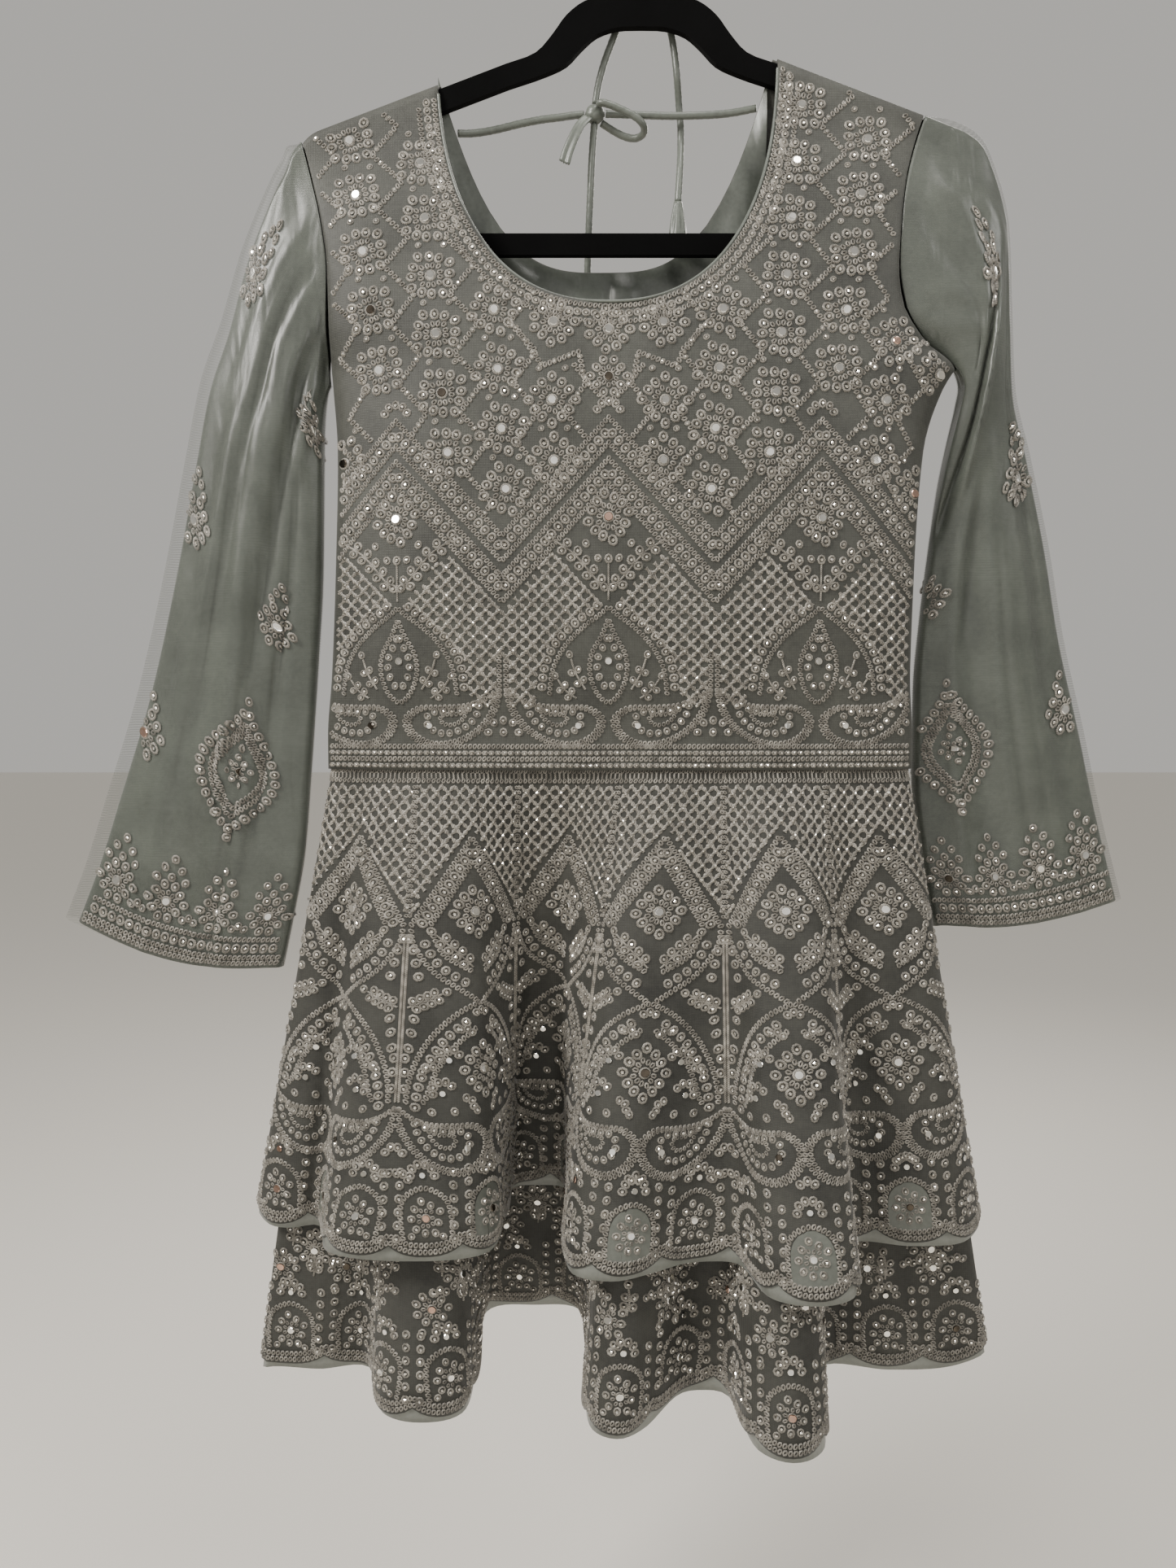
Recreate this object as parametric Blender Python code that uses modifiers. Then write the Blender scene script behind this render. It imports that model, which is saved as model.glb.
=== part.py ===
# Embroidered two-tier peplum top on a flat hanger
# Every size below is in millimetres, and each solid is scaled to metres as it is made.
# X runs across the garment, the front faces -Y, +Z is up, and the origin is the inside of the
# hook's bend, where a rail carries the hanger.
import math
from collections import namedtuple
from functools import lru_cache

import bmesh
import bpy
import numpy as np
from mathutils import Vector

mm = 0.001

# Driving dimensions
bodiceWall = 1.6
tierWall = 1.6
sleeveWall = 1.3
facingWall = 1.0
seamHalf = 0.45        # half the space left at the bodice's side seam
tierSeamHalf = 0.15    # half the space left at a tier's side seam
seamTurn = 1.2         # first bit of a tier panel that runs square to its side seam
armholeSeam = 0.9      # distance from an armhole edge to the middle of its sleeve's wall
underarmSeam = 2.3     # the same at the underarm, where the two walls lie side by side
underarmHalf = 2.2     # half width of the sleeve's inner fold at the underarm
waistZ = -528.0        # waist seam
bodiceHemZ = -530.0    # bodice edge that laps over the peplum
tierTopZ = -521.0      # top of both tiers, tucked inside the bodice
scallopDepth = 6.0
scallopsPerPanel = 18
columnsPerScallop = 3
panelColumns = scallopsPerPanel * columnsPerScallop + 1
tierShares = (0.0, 0.06, 0.2, 0.4, 0.62, 0.84)
facingHeight = 20.0
facingPeek = 3.0       # hem strip seen below the embroidered edge
facingGap = 0.4
roundness = 0.8        # superellipse power of the bodice section

# Hanger
hangerHalfWidth = 203.0
hangerThickness = 5.0
armJunction = (62.0, -108.2)
armSlope = 0.37
armHeight = 13.3
tipRadius = 20.0
archTopZ = -75.0
archInnerZ = -93.5
barTopZ = -212.0
barBottomZ = -224.5
hookWire = 3.4
hookRadius = 20.0      # inside radius of the hook's bend
shoulderLift = 2.8     # cloth above the arm
ridgeHalf = 4.6        # half width of the cloth where it bends over the arm
ridgeSeam = 0.6        # half the space along the shoulder seam

# Rows and columns of the bodice and the sleeves, as shares of a length
ringShares = (0.0, 0.006, 0.03, 0.09, 0.18, 0.29, 0.41, 0.53, 0.65, 0.77, 0.87, 0.95, 0.985, 1.0)
strapRows = 7          # rows of the strap above the bottom of the neckline
neckTurn = 0.12        # share of the neckline's height where it turns flat
sideShares = (0.14, 0.32, 0.5, 0.68, 0.86, 1.0)
strapShares = (0.0, 0.025, 0.09, 0.22, 0.46, 0.74, 1.0)
neckColumns = 9
sleeveRows = (0.0, 0.025, 0.05, 0.08, 0.12, 0.18, 0.25, 0.32, 0.40, 0.50, 0.62, 0.75, 0.88, 1.0)
settleSteps = 30       # steps that settle a column's top on the edge that it meets

# Bodice sections from the shoulders down to the waist
Section = namedtuple("Section", "z left right front back")
bodiceSections = (
    Section(-113.0, -212.0, 178.0, 6.0, 6.0),
    Section(-142.0, -205.0, 167.4, 9.0, 8.0),
    Section(-162.0, -199.0, 160.6, 11.0, 10.0),
    Section(-185.0, -193.0, 154.8, 14.0, 13.0),
    Section(-207.0, -187.8, 152.0, 18.0, 16.5),
    Section(-234.0, -184.2, 150.8, 23.0, 20.0),
    Section(-256.0, -184.0, 154.0, 27.0, 21.0),
    Section(-276.0, -184.0, 168.0, 30.0, 21.5),
    Section(-292.5, -184.0, 187.0, 32.0, 22.0),
    Section(-300.0, -183.5, 182.0, 33.0, 22.0),
    Section(-341.0, -181.0, 169.0, 36.0, 23.0),
    Section(-409.0, -183.0, 164.8, 37.0, 24.0),
    Section(-473.0, -186.3, 163.6, 32.0, 24.5),
    Section(-512.0, -189.5, 165.6, 27.0, 25.0),
    Section(-530.0, -189.5, 165.6, 27.0, 25.0),
)

# Each neckline is a rounded U: centre, half width, bottom and height of the curve
Neckline = namedtuple("Neckline", "centre half bottom height across down")
frontNeck = Neckline(-20.0, 100.0, -260.0, 150.0, 2.4, 2.2)
backNeck = Neckline(-22.5, 102.5, -227.0, 125.0, 3.2, 1.0)

Armhole = namedtuple("Armhole", "top under open")
leftArmhole = Armhole(-159.5, -300.0, 7.0)
rightArmhole = Armhole(-144.4, -292.5, 7.0)

# Sleeve sections from the armhole to the cuff: outer and inner ends, half depths, place in Y
Cut = namedtuple("Cut", "along outerX outerZ innerX innerZ front back middle sag")
leftSleeve = (
    Cut(0.00, -199.0, -159.5, -184.0, -300.0, 11.0, 11.0, 0.0, 0.0),
    Cut(0.02, -204.6, -165.5, -185.6, -303.5, 11.5, 11.0, 0.0, 0.0),
    Cut(0.05, -208.5, -175.5, -186.6, -308.5, 12.5, 12.0, 0.0, 1.0),
    Cut(0.08, -214.5, -186.0, -187.3, -314.0, 13.5, 12.0, 0.0, 1.0),
    Cut(0.14, -232.0, -226.8, -188.0, -327.0, 15.0, 13.0, 0.0, 2.0),
    Cut(0.22, -244.5, -269.6, -188.5, -349.0, 16.0, 14.0, 0.0, 2.0),
    Cut(0.30, -256.3, -303.0, -189.0, -376.0, 16.0, 14.0, 0.0, 2.0),
    Cut(0.40, -265.5, -346.4, -190.0, -415.0, 15.0, 13.0, 0.0, 3.0),
    Cut(0.52, -278.1, -409.5, -193.5, -466.0, 14.0, 12.0, 0.0, 4.0),
    Cut(0.66, -295.6, -483.3, -198.5, -529.0, 12.0, 11.0, 0.0, 5.0),
    Cut(0.81, -317.0, -550.4, -203.5, -583.0, 11.0, 10.0, 0.0, 7.0),
    Cut(0.91, -329.5, -588.1, -210.0, -617.0, 10.0, 9.0, 0.0, 8.0),
    Cut(1.00, -343.5, -623.4, -217.5, -652.0, 10.0, 8.0, 0.0, 10.0),
)
rightSleeve = (
    Cut(0.00, 167.4, -144.4, 187.5, -292.5, 11.0, 11.0, 0.0, 0.0),
    Cut(0.03, 180.0, -149.2, 189.5, -295.0, 12.0, 11.5, 0.0, 0.0),
    Cut(0.06, 192.0, -154.0, 191.0, -298.5, 13.0, 12.0, 0.3, 0.0),
    Cut(0.09, 200.6, -160.6, 192.0, -302.5, 14.0, 12.5, 0.8, 0.0),
    Cut(0.12, 206.0, -171.0, 192.0, -307.0, 15.0, 13.0, 1.5, 0.0),
    Cut(0.19, 217.6, -207.1, 190.0, -319.0, 17.0, 14.0, 5.0, 1.0),
    Cut(0.28, 221.8, -253.9, 186.0, -338.0, 17.0, 14.0, 9.0, 2.0),
    Cut(0.37, 226.0, -301.4, 181.5, -364.0, 15.0, 13.0, 13.0, 2.0),
    Cut(0.45, 236.4, -339.6, 178.0, -394.0, 13.0, 12.0, 16.0, 2.0),
    Cut(0.56, 250.7, -398.0, 173.5, -440.0, 12.0, 11.0, 19.0, 2.0),
    Cut(0.66, 260.7, -447.7, 171.0, -482.0, 11.0, 10.0, 21.5, 3.0),
    Cut(0.78, 276.5, -508.4, 171.5, -535.0, 10.0, 9.0, 24.0, 4.0),
    Cut(0.89, 289.4, -559.9, 178.0, -584.0, 9.0, 9.0, 26.5, 5.0),
    Cut(1.00, 304.6, -614.8, 187.0, -633.0, 9.0, 8.0, 28.0, 6.0),
)

# Long soft folds in the sleeves: place across, stretch down the sleeve, width and height
Crease = namedtuple("Crease", "acrossTop acrossEnd start end width height")
leftCreases = (
    Crease(0.62, 0.30, 0.03, 0.95, 0.075, 5.0),
    Crease(0.36, 0.14, 0.05, 0.80, 0.060, 3.5),
    Crease(0.80, 0.52, 0.06, 0.60, 0.060, -4.0),
    Crease(0.50, 0.72, 0.45, 1.00, 0.080, 3.0),
)
rightCreases = (
    Crease(0.30, 0.85, 0.20, 0.42, 0.080, 6.0),
    Crease(0.46, 0.99, 0.22, 0.46, 0.070, -6.0),
    Crease(0.35, 0.30, 0.38, 1.00, 0.080, 3.5),
    Crease(0.62, 0.60, 0.45, 0.95, 0.070, -3.0),
)

# Folds of each tier at its hem, left to right: where the face starts and ends, its depth
# towards the front, how much it crowns, and the height of the hem there
Fold = namedtuple("Fold", "name start end depth crown hem")
upperFront = (
    Fold("side left", -227.0, -198.0, 14.0, 4.0, -808.0),
    Fold("second fold", -184.0, -89.0, 50.0, 12.0, -808.0),
    Fold("deep valley", -79.0, -49.0, -36.0, -3.0, -805.0),
    Fold("third fold", -41.0, 6.0, 70.0, 10.0, -811.0),
    Fold("shallow valley", 24.0, 54.0, 61.0, -3.0, -810.0),
    Fold("fourth fold", 68.0, 116.0, 90.0, 10.0, -815.0),
    Fold("side right", 130.0, 196.0, 25.0, 5.0, -814.0),
)
lowerFront = (
    Fold("side left", -226.0, -170.0, 7.0, 3.0, -902.0),
    Fold("second fold", -154.0, -105.0, 46.0, 10.0, -908.0),
    Fold("deep valley", -97.0, -39.0, -62.0, -5.0, -901.0),
    Fold("third fold", -30.0, 2.0, 60.0, 10.0, -909.0),
    Fold("shallow valley", 24.0, 50.0, 42.0, -4.0, -899.0),
    Fold("fourth fold", 64.0, 103.0, 78.0, 12.0, -910.0),
    Fold("side right", 116.0, 196.0, 7.0, 4.0, -902.0),
)
upperBack = (
    Fold("side left", -228.0, -216.0, 20.0, 2.0, -808.0),
    Fold("second fold", -198.0, -154.0, 50.0, 8.0, -810.0),
    Fold("narrow valley", -136.0, -122.0, 44.0, -2.0, -806.0),
    Fold("third fold", -108.0, -24.0, 96.0, 8.0, -812.0),
    Fold("shallow valley", -8.0, 28.0, 48.0, -3.0, -806.0),
    Fold("fourth fold", 44.0, 92.0, 76.0, 8.0, -812.0),
    Fold("narrow valley", 108.0, 134.0, 36.0, -2.0, -807.0),
    Fold("side right", 150.0, 198.0, 32.0, 5.0, -811.0),
)
lowerBack = (
    Fold("side left", -226.0, -208.0, 12.0, 2.0, -901.0),
    Fold("second fold", -190.0, -158.0, 40.0, 7.0, -904.0),
    Fold("narrow valley", -144.0, -122.0, 33.0, -2.0, -899.0),
    Fold("third fold", -106.0, -38.0, 94.0, 8.0, -906.0),
    Fold("shallow valley", -20.0, 34.0, 43.0, -3.0, -899.0),
    Fold("fourth fold", 52.0, 88.0, 66.0, 8.0, -905.0),
    Fold("narrow valley", 106.0, 134.0, 30.0, -2.0, -900.0),
    Fold("side right", 148.0, 196.0, 22.0, 4.0, -903.0),
)
Tier = namedtuple("Tier", "left right leftHem rightHem inset")
upperTier = Tier(-238.0, 214.0, -804.0, -812.0, 2.9)
lowerTier = Tier(-237.0, 219.0, -903.0, -894.0, 6.0)

# Neck tie: routes of the satin tube, as points chosen by hand
tieDiameter = 4.4
knotCentre = (-27.2, 11.0, -137.0)
knotRadii = (6.0, 5.5, 5.6)
leftTieRoute = (
    (-109.2, 6.4, -150.4), (-103.0, 7.8, -149.8), (-95.0, 9.2, -148.4), (-84.0, 10.0, -145.9),
    (-72.0, 10.3, -142.9), (-60.0, 10.6, -140.5), (-48.0, 10.8, -138.9), (-40.0, 11.0, -137.7),
    (-33.6, 11.0, -137.2),
)
rightTieRoute = (
    (69.2, 6.2, -135.8), (64.0, 7.4, -136.3), (56.0, 9.0, -137.0), (47.0, 10.0, -137.6),
    (33.0, 10.3, -138.1), (20.0, 10.6, -138.2), (6.0, 10.8, -137.8), (-8.0, 11.0, -137.2),
    (-20.8, 11.0, -136.8),
)
upTailRoute = (
    (-27.0, 11.0, -131.1), (-25.8, 10.8, -123.0), (-23.6, 10.2, -114.0), (-21.0, 9.4, -106.0),
    (-17.8, 8.8, -98.0), (-14.6, 8.2, -90.0), (-12.2, 7.2, -83.0), (-10.8, 6.0, -77.5),
    (-9.4, 4.6, -73.2), (-6.8, 0.6, -70.6), (-3.0, -3.9, -69.8), (3.0, -4.7, -69.6),
    (8.8, -2.2, -70.2), (12.0, 2.4, -71.6), (14.0, 5.4, -75.2), (15.6, 6.8, -80.2),
    (17.0, 8.0, -86.5), (18.8, 8.8, -94.0), (20.6, 9.4, -104.0), (22.0, 10.2, -116.0),
    (23.8, 16.5, -130.0), (24.9, 18.0, -141.0), (24.9, 16.6, -153.0), (24.3, 12.0, -166.0),
    (23.4, 9.8, -180.0), (22.8, 9.4, -189.0),
)
downTailRoute = (
    (-27.6, 11.2, -142.9), (-28.4, 12.0, -153.0), (-29.2, 13.2, -166.0), (-29.8, 14.6, -180.0),
    (-30.6, 17.4, -196.0), (-31.2, 20.6, -210.0), (-31.6, 23.4, -223.0), (-31.8, 24.9, -236.0),
    (-31.6, 25.8, -252.0), (-31.2, 26.6, -268.0), (-30.6, 27.6, -284.0), (-30.0, 28.7, -300.0),
    (-29.6, 29.8, -316.0), (-29.4, 30.9, -332.0), (-29.3, 31.6, -344.0),
)
bowRoute = (
    (-24.9, 5.3, -134.5), (-23.8, 3.2, -134.2), (-18.0, 2.9, -135.6), (-10.0, 3.6, -138.6),
    (-4.0, 4.0, -141.4), (0.2, 4.8, -144.4), (2.4, 8.0, -146.6), (1.6, 12.4, -148.2),
    (-2.6, 15.8, -148.8), (-8.0, 17.0, -147.6), (-14.0, 17.0, -145.0), (-19.2, 16.4, -142.2),
    (-23.3, 14.8, -140.3),
)
cutEndRoute = (
    (-31.2, 7.2, -140.4), (-35.6, 5.8, -145.4), (-39.4, 5.0, -152.4), (-43.0, 5.0, -160.6),
    (-45.4, 5.2, -168.0),
)
cutEndSize = (7.0, 1.4)
tasselLength = 24.0
tasselTop = 5.2
tasselBottom = 12.6
tasselGap = 0.3


def smoothStep(value):
    value = np.clip(value, 0.0, 1.0)
    return value * value * (3.0 - 2.0 * value)


@lru_cache(maxsize=None)
def sectionCurve(rows, key, column):
    """Places, values, steps and tangents of a curve without overshoot through one column."""
    pairs = sorted((getattr(row, key), getattr(row, column)) for row in rows)
    x = np.array([pair[0] for pair in pairs])
    y = np.array([pair[1] for pair in pairs])
    step = np.diff(x)
    slope = np.diff(y) / step
    tangent = np.zeros(len(x))
    tangent[0] = slope[0]
    tangent[-1] = slope[-1]
    for i in range(1, len(x) - 1):
        if slope[i - 1] * slope[i] > 0.0:
            first = 2.0 * step[i] + step[i - 1]
            second = step[i] + 2.0 * step[i - 1]
            tangent[i] = (first + second) / (first / slope[i - 1] + second / slope[i])
    return x, y, step, tangent


def readSections(rows, key, column, at):
    """A value of the smooth curve through one column of a table of sections."""
    x, y, step, tangent = sectionCurve(rows, key, column)
    at = np.clip(at, x[0], x[-1])
    i = np.clip(np.searchsorted(x, at) - 1, 0, len(x) - 2)
    t = (at - x[i]) / step[i]
    rise = t * t * (3.0 - 2.0 * t)
    return (y[i] * (1.0 - rise) + y[i + 1] * rise
            + step[i] * tangent[i] * t * (1.0 - t) ** 2 - step[i] * tangent[i + 1] * t * t * (1.0 - t))


def armTop(x):
    """Height of the hanger's arm at a distance from the middle."""
    x = np.abs(x)
    lean = math.atan(armSlope)
    tipX = hangerHalfWidth - tipRadius
    tangentX = tipX + tipRadius * math.sin(lean)
    tangentZ = armJunction[1] - armSlope * (tangentX - armJunction[0])
    tipZ = tangentZ - tipRadius * math.cos(lean)
    line = armJunction[1] - armSlope * (x - armJunction[0])
    rounded = tipZ + np.sqrt(np.maximum(tipRadius ** 2 - (x - tipX) ** 2, 0.0))
    return np.where(x < tangentX, line, rounded)


def shoulderLine(x):
    return armTop(x) + shoulderLift


def ridge(drop):
    """Half width of the cloth a little way below the ridge that it bends over."""
    inside = np.clip(1.0 - drop / 4.0, 0.0, 1.0)
    return ridgeHalf * np.sqrt(1.0 - inside ** 2)


def armholeHalf(armhole, z):
    share = np.clip((armhole.top - z) / (armhole.top - armhole.under), 0.0, 1.0)
    return ridgeHalf + armhole.open * np.sin(math.pi * share) ** 0.8, share


def edgeX(sign, z):
    return float(readSections(bodiceSections, "z", "left" if sign < 0 else "right", z))


def bodicePoint(side, x, z):
    """A point of the front (side -1) or back (side 1) above a place across and at a height."""
    left = edgeX(-1, z)
    right = edgeX(1, z)
    centre = (left + right) / 2.0
    reach = min(abs(x - centre) / ((right - left) / 2.0), 1.0)
    crown = (1.0 - reach ** (2.0 / roundness)) ** (roundness / 2.0)
    depth = float(readSections(bodiceSections, "z", "front" if side < 0 else "back", z))
    edge, share = armholeHalf(leftArmhole if x < centre else rightArmhole, z)
    drop = max(float(shoulderLine(x)) - z, 0.0)
    upper = ridge(drop) + (edge + (depth - edge) * crown - ridgeHalf) * smoothStep(drop / 70.0)
    lower = seamHalf + (depth - seamHalf) * crown
    closed = smoothStep((share - 0.78) / 0.22)
    y = max(float(upper * (1.0 - closed) + lower * closed), ridgeSeam)
    return np.array((x, side * y, z))


def neckX(neck, sign, z):
    h = min(max((z - neck.bottom) / neck.height, 0.0), 1.0)
    return neck.centre + sign * neck.half * (1.0 - (1.0 - h) ** neck.down) ** (1.0 / neck.across)


def neckHeight(neck, x):
    d = min(abs(x - neck.centre) / neck.half, 1.0)
    return neck.bottom + neck.height * (1.0 - (1.0 - d ** neck.across) ** (1.0 / neck.down))


def innerX(neck, sign, z):
    """The column that follows the steep side of the neckline and then runs down to the waist."""
    turnZ = neck.bottom + neckTurn * neck.height
    if z >= turnZ:
        return neckX(neck, sign, z)
    half = (edgeX(1, z) - edgeX(-1, z)) / 2.0
    middle = (edgeX(1, z) + edgeX(-1, z)) / 2.0
    halfTurn = (edgeX(1, turnZ) - edgeX(-1, turnZ)) / 2.0
    middleTurn = (edgeX(1, turnZ) + edgeX(-1, turnZ)) / 2.0
    return middle + (neckX(neck, sign, turnZ) - middleTurn) / halfTurn * half


def strapX(neck, sign, s, z):
    return edgeX(sign, z) * (1.0 - s) + innerX(neck, sign, z) * s


def strapTop(neck, sign, s):
    z = armJunction[1] - 20.0
    for _ in range(settleSteps):
        z = 0.5 * z + 0.5 * float(shoulderLine(strapX(neck, sign, s, z)))
    return z


def strapColumn(side, neck, sign, s):
    """One column from the shoulder to the waist: the strap rows, then the rows below."""
    armhole = leftArmhole if sign < 0 else rightArmhole
    turnZ = neck.bottom + neckTurn * neck.height
    top = strapTop(neck, sign, s)
    outerLength = armhole.top - armhole.under
    innerLength = (strapTop(neck, sign, 1.0) - turnZ) / ringShares[strapRows]
    length = outerLength * (1.0 - s) + innerLength * s
    heights = [top - share * length for share in ringShares]
    heights += [heights[-1] + (bodiceHemZ - heights[-1]) * share for share in sideShares]
    return [bodicePoint(side, strapX(neck, sign, s, z), z) for z in heights]


def bodiceBlocks(side, neck):
    """The panel as three grids that share their edges: two straps and the body."""
    left = np.array([strapColumn(side, neck, -1, s) for s in strapShares])
    right = np.array([strapColumn(side, neck, 1, s) for s in strapShares[::-1]])
    innerZ = left[-1][strapRows:, 2]
    fall = (innerZ[0] - innerZ) / (innerZ[0] - bodiceHemZ)
    middle = []
    for q in np.linspace(0.0, 1.0, neckColumns + 1)[1:-1]:
        top = neck.bottom
        for _ in range(settleSteps):
            x = innerX(neck, -1, top) * (1.0 - q) + innerX(neck, 1, top) * q
            top = 0.5 * top + 0.5 * neckHeight(neck, x)
        column = []
        for share in fall:
            z = top + (bodiceHemZ - top) * share
            x = innerX(neck, -1, z) * (1.0 - q) + innerX(neck, 1, z) * q
            column.append(bodicePoint(side, x, z))
        middle.append(column)
    body = np.concatenate((left[:, strapRows:], np.array(middle), right[:, strapRows:]))
    return [block.transpose(1, 0, 2) for block in (left[:, :strapRows + 1], body, right[:, :strapRows + 1])]


def armholeEdge(side, sign, share):
    armhole = leftArmhole if sign < 0 else rightArmhole
    z = armhole.top + (armhole.under - armhole.top) * share
    return bodicePoint(side, edgeX(sign, z), z)


def creaseHeight(creases, along, across):
    height = 0.0
    for crease in creases:
        if not crease.start < along < crease.end:
            continue
        t = (along - crease.start) / (crease.end - crease.start)
        place = crease.acrossTop + (crease.acrossEnd - crease.acrossTop) * t
        fade = math.sin(math.pi * t) ** 0.6
        height += crease.height * fade * math.exp(-((across - place) / crease.width) ** 2)
    return height


def sleevePoint(cuts, creases, sign, along, turn):
    """turn runs round the sleeve: 0 at the outer fold, 0.25 mid front, 0.5 inner fold, 0.75 mid back."""
    row = {name: float(readSections(cuts, "along", name, along)) for name in Cut._fields}
    across = (1.0 - math.cos(2.0 * math.pi * turn)) / 2.0
    side = -1.0 if turn <= 0.5 else 1.0
    outer = np.array((row["outerX"], row["outerZ"]))
    inner = np.array((row["innerX"], row["innerZ"]))
    length = np.linalg.norm(inner - outer)
    place = outer + (inner - outer) * across
    place[1] -= row["sag"] * math.sin(math.pi * across)
    depth = row["front"] if side < 0 else row["back"]
    rim = ridge(across * length) * ridge((1.0 - across) * length) / ridgeHalf
    y = rim + (depth - ridgeHalf) * math.sin(math.pi * across) ** 0.8
    if side < 0:
        y += creaseHeight(creases, along, across)
    y = row["middle"] + side * y
    edge = armholeEdge(side, sign, across)
    first = cuts[0]
    straight = np.array((first.outerX + (first.innerX - first.outerX) * across,
                         first.outerZ + (first.innerZ - first.outerZ) * across))
    hold = 1.0 - float(smoothStep(along / 0.16))
    before = armholeEdge(side, sign, max(across - 0.02, 0.0))
    after = armholeEdge(side, sign, min(across + 0.02, 1.0))
    path = np.array((after[0] - before[0], after[2] - before[2]))
    outward = np.array((-path[1], path[0])) * sign / np.linalg.norm(path)
    outward *= armholeSeam + (underarmSeam - armholeSeam) * smoothStep((across - 0.5) / 0.3)
    x = place[0] + hold * (edge[0] - straight[0]) + outward[0]
    z = place[1] + hold * (edge[2] - straight[1]) + outward[1]
    ringY = max(abs(edge[1]), underarmHalf) if across < 0.998 else 0.0
    return np.array((x, y * (1.0 - hold) + side * ringY * hold, z))


def sleeveGrid(cuts, creases, sign):
    front = np.arccos(1.0 - 2.0 * np.array(ringShares)) / (2.0 * math.pi)
    turns = np.concatenate((front, (1.0 - front[::-1])[1:-1]))
    return np.array([[sleevePoint(cuts, creases, sign, along, turn) for turn in turns] for along in sleeveRows])


def throughPoints(points, perSpan):
    """A centripetal Catmull-Rom curve through the points."""
    points = [np.array(point, float) for point in points]
    points = [2 * points[0] - points[1]] + points + [2 * points[-1] - points[-2]]
    curve = []
    for a, b, c, d in zip(points, points[1:], points[2:], points[3:]):
        knots = [0.0]
        for p, q in ((a, b), (b, c), (c, d)):
            knots.append(knots[-1] + max(np.linalg.norm(q - p), 1e-6) ** 0.5)
        for t in np.linspace(knots[1], knots[2], perSpan, endpoint=False):
            ab = a + (b - a) * (t - knots[0]) / (knots[1] - knots[0])
            bc = b + (c - b) * (t - knots[1]) / (knots[2] - knots[1])
            cd = c + (d - c) * (t - knots[2]) / (knots[3] - knots[2])
            abc = ab + (bc - ab) * (t - knots[0]) / (knots[2] - knots[0])
            bcd = bc + (cd - bc) * (t - knots[1]) / (knots[3] - knots[1])
            curve.append(abc + (bcd - abc) * (t - knots[1]) / (knots[2] - knots[1]))
    curve.append(points[-2])
    return np.array(curve)


def evenly(curve, count, dimensions=2):
    """The curve at equal shares of its length in plan."""
    steps = np.linalg.norm(np.diff(curve[:, :dimensions], axis=0), axis=1)
    length = np.concatenate(((0.0,), np.cumsum(steps)))
    wanted = np.linspace(0.0, length[-1], count)
    return np.stack([np.interp(wanted, length, curve[:, axis]) for axis in range(curve.shape[1])], axis=1)


def squareEnds(plan, side):
    """The first and last bit of a plan turned square to the side seam."""
    first = plan[0].copy()
    first[1] = side * seamTurn
    last = plan[-1].copy()
    last[1] = side * seamTurn
    return np.concatenate((plan[:1], [first], plan[1:-1], [last], plan[-1:]))


def hemPlan(folds, tier, side):
    """The hem seen from above, with its height as the third value."""
    points = [(tier.left, side * tierSeamHalf, tier.leftHem), (tier.left + 1.6, side * 6.0, tier.leftHem)]
    for fold in folds:
        points.append((fold.start, side * fold.depth, fold.hem))
        points.append(((fold.start + fold.end) / 2.0, side * (fold.depth + fold.crown), fold.hem))
        points.append((fold.end, side * fold.depth, fold.hem))
    points.append((tier.right - 1.6, side * 6.0, tier.rightHem))
    points.append((tier.right, side * tierSeamHalf, tier.rightHem))
    return squareEnds(evenly(throughPoints(points, 10), panelColumns), side)


def waistPlan(side, inset):
    """The waist seam seen from above, set in from the bodice."""
    row = bodiceSections[-1]
    centre = (row.left + row.right) / 2.0
    half = (row.right - row.left) / 2.0 - inset
    depth = (row.front if side < 0 else row.back) - inset
    angles = np.linspace(-math.pi / 2.0, math.pi / 2.0, 241)
    x = centre + half * np.sign(angles) * np.abs(np.sin(angles)) ** roundness
    y = side * (tierSeamHalf + (depth - tierSeamHalf) * np.abs(np.cos(angles)) ** roundness)
    return squareEnds(evenly(np.stack((x, y), axis=1), panelColumns), side)


def movedIn(plan, side, distance):
    """A plan set in by a distance, with its corners mitred."""
    ahead = np.diff(plan[:, :2], axis=0)
    ahead /= np.linalg.norm(ahead, axis=1)[:, None]
    before = np.concatenate((ahead[:1], ahead))
    after = np.concatenate((ahead, ahead[-1:]))
    mean = before + after
    mean /= (mean * before).sum(axis=1)[:, None]
    moved = plan.copy()
    moved[:, :2] += np.stack((mean[:, 1], -mean[:, 0]), axis=1) * side * distance
    return moved


def tierRow(waist, hem, share):
    """A row of the panel, at one share of the way from waist to hem or at a share for each column."""
    share = np.broadcast_to(share, len(hem))[:, None]
    foot = hem - np.array((0.0, 0.0, waistZ))
    head = np.column_stack((waist, np.zeros(len(waist))))
    return head + (foot - head) * share + np.array((0.0, 0.0, waistZ))


def tierGrid(folds, tier, side):
    hem = hemPlan(folds, tier, side)
    waist = waistPlan(side, tier.inset)
    rows = [tierRow(waist, hem, share) for share in tierShares]
    top = rows[0].copy()
    top[:, 2] = tierTopZ
    cusps = np.arange(panelColumns) % columnsPerScallop == 0
    cusps = np.concatenate((cusps[:1], cusps[:1], cusps[1:-1], cusps[-1:], cusps[-1:]))
    rise = np.where(cusps, scallopDepth, 0.0)
    rows.append(tierRow(waist, hem, 1.0 - rise / (waistZ - hem[:, 2])))
    return np.array([top] + rows)


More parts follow.
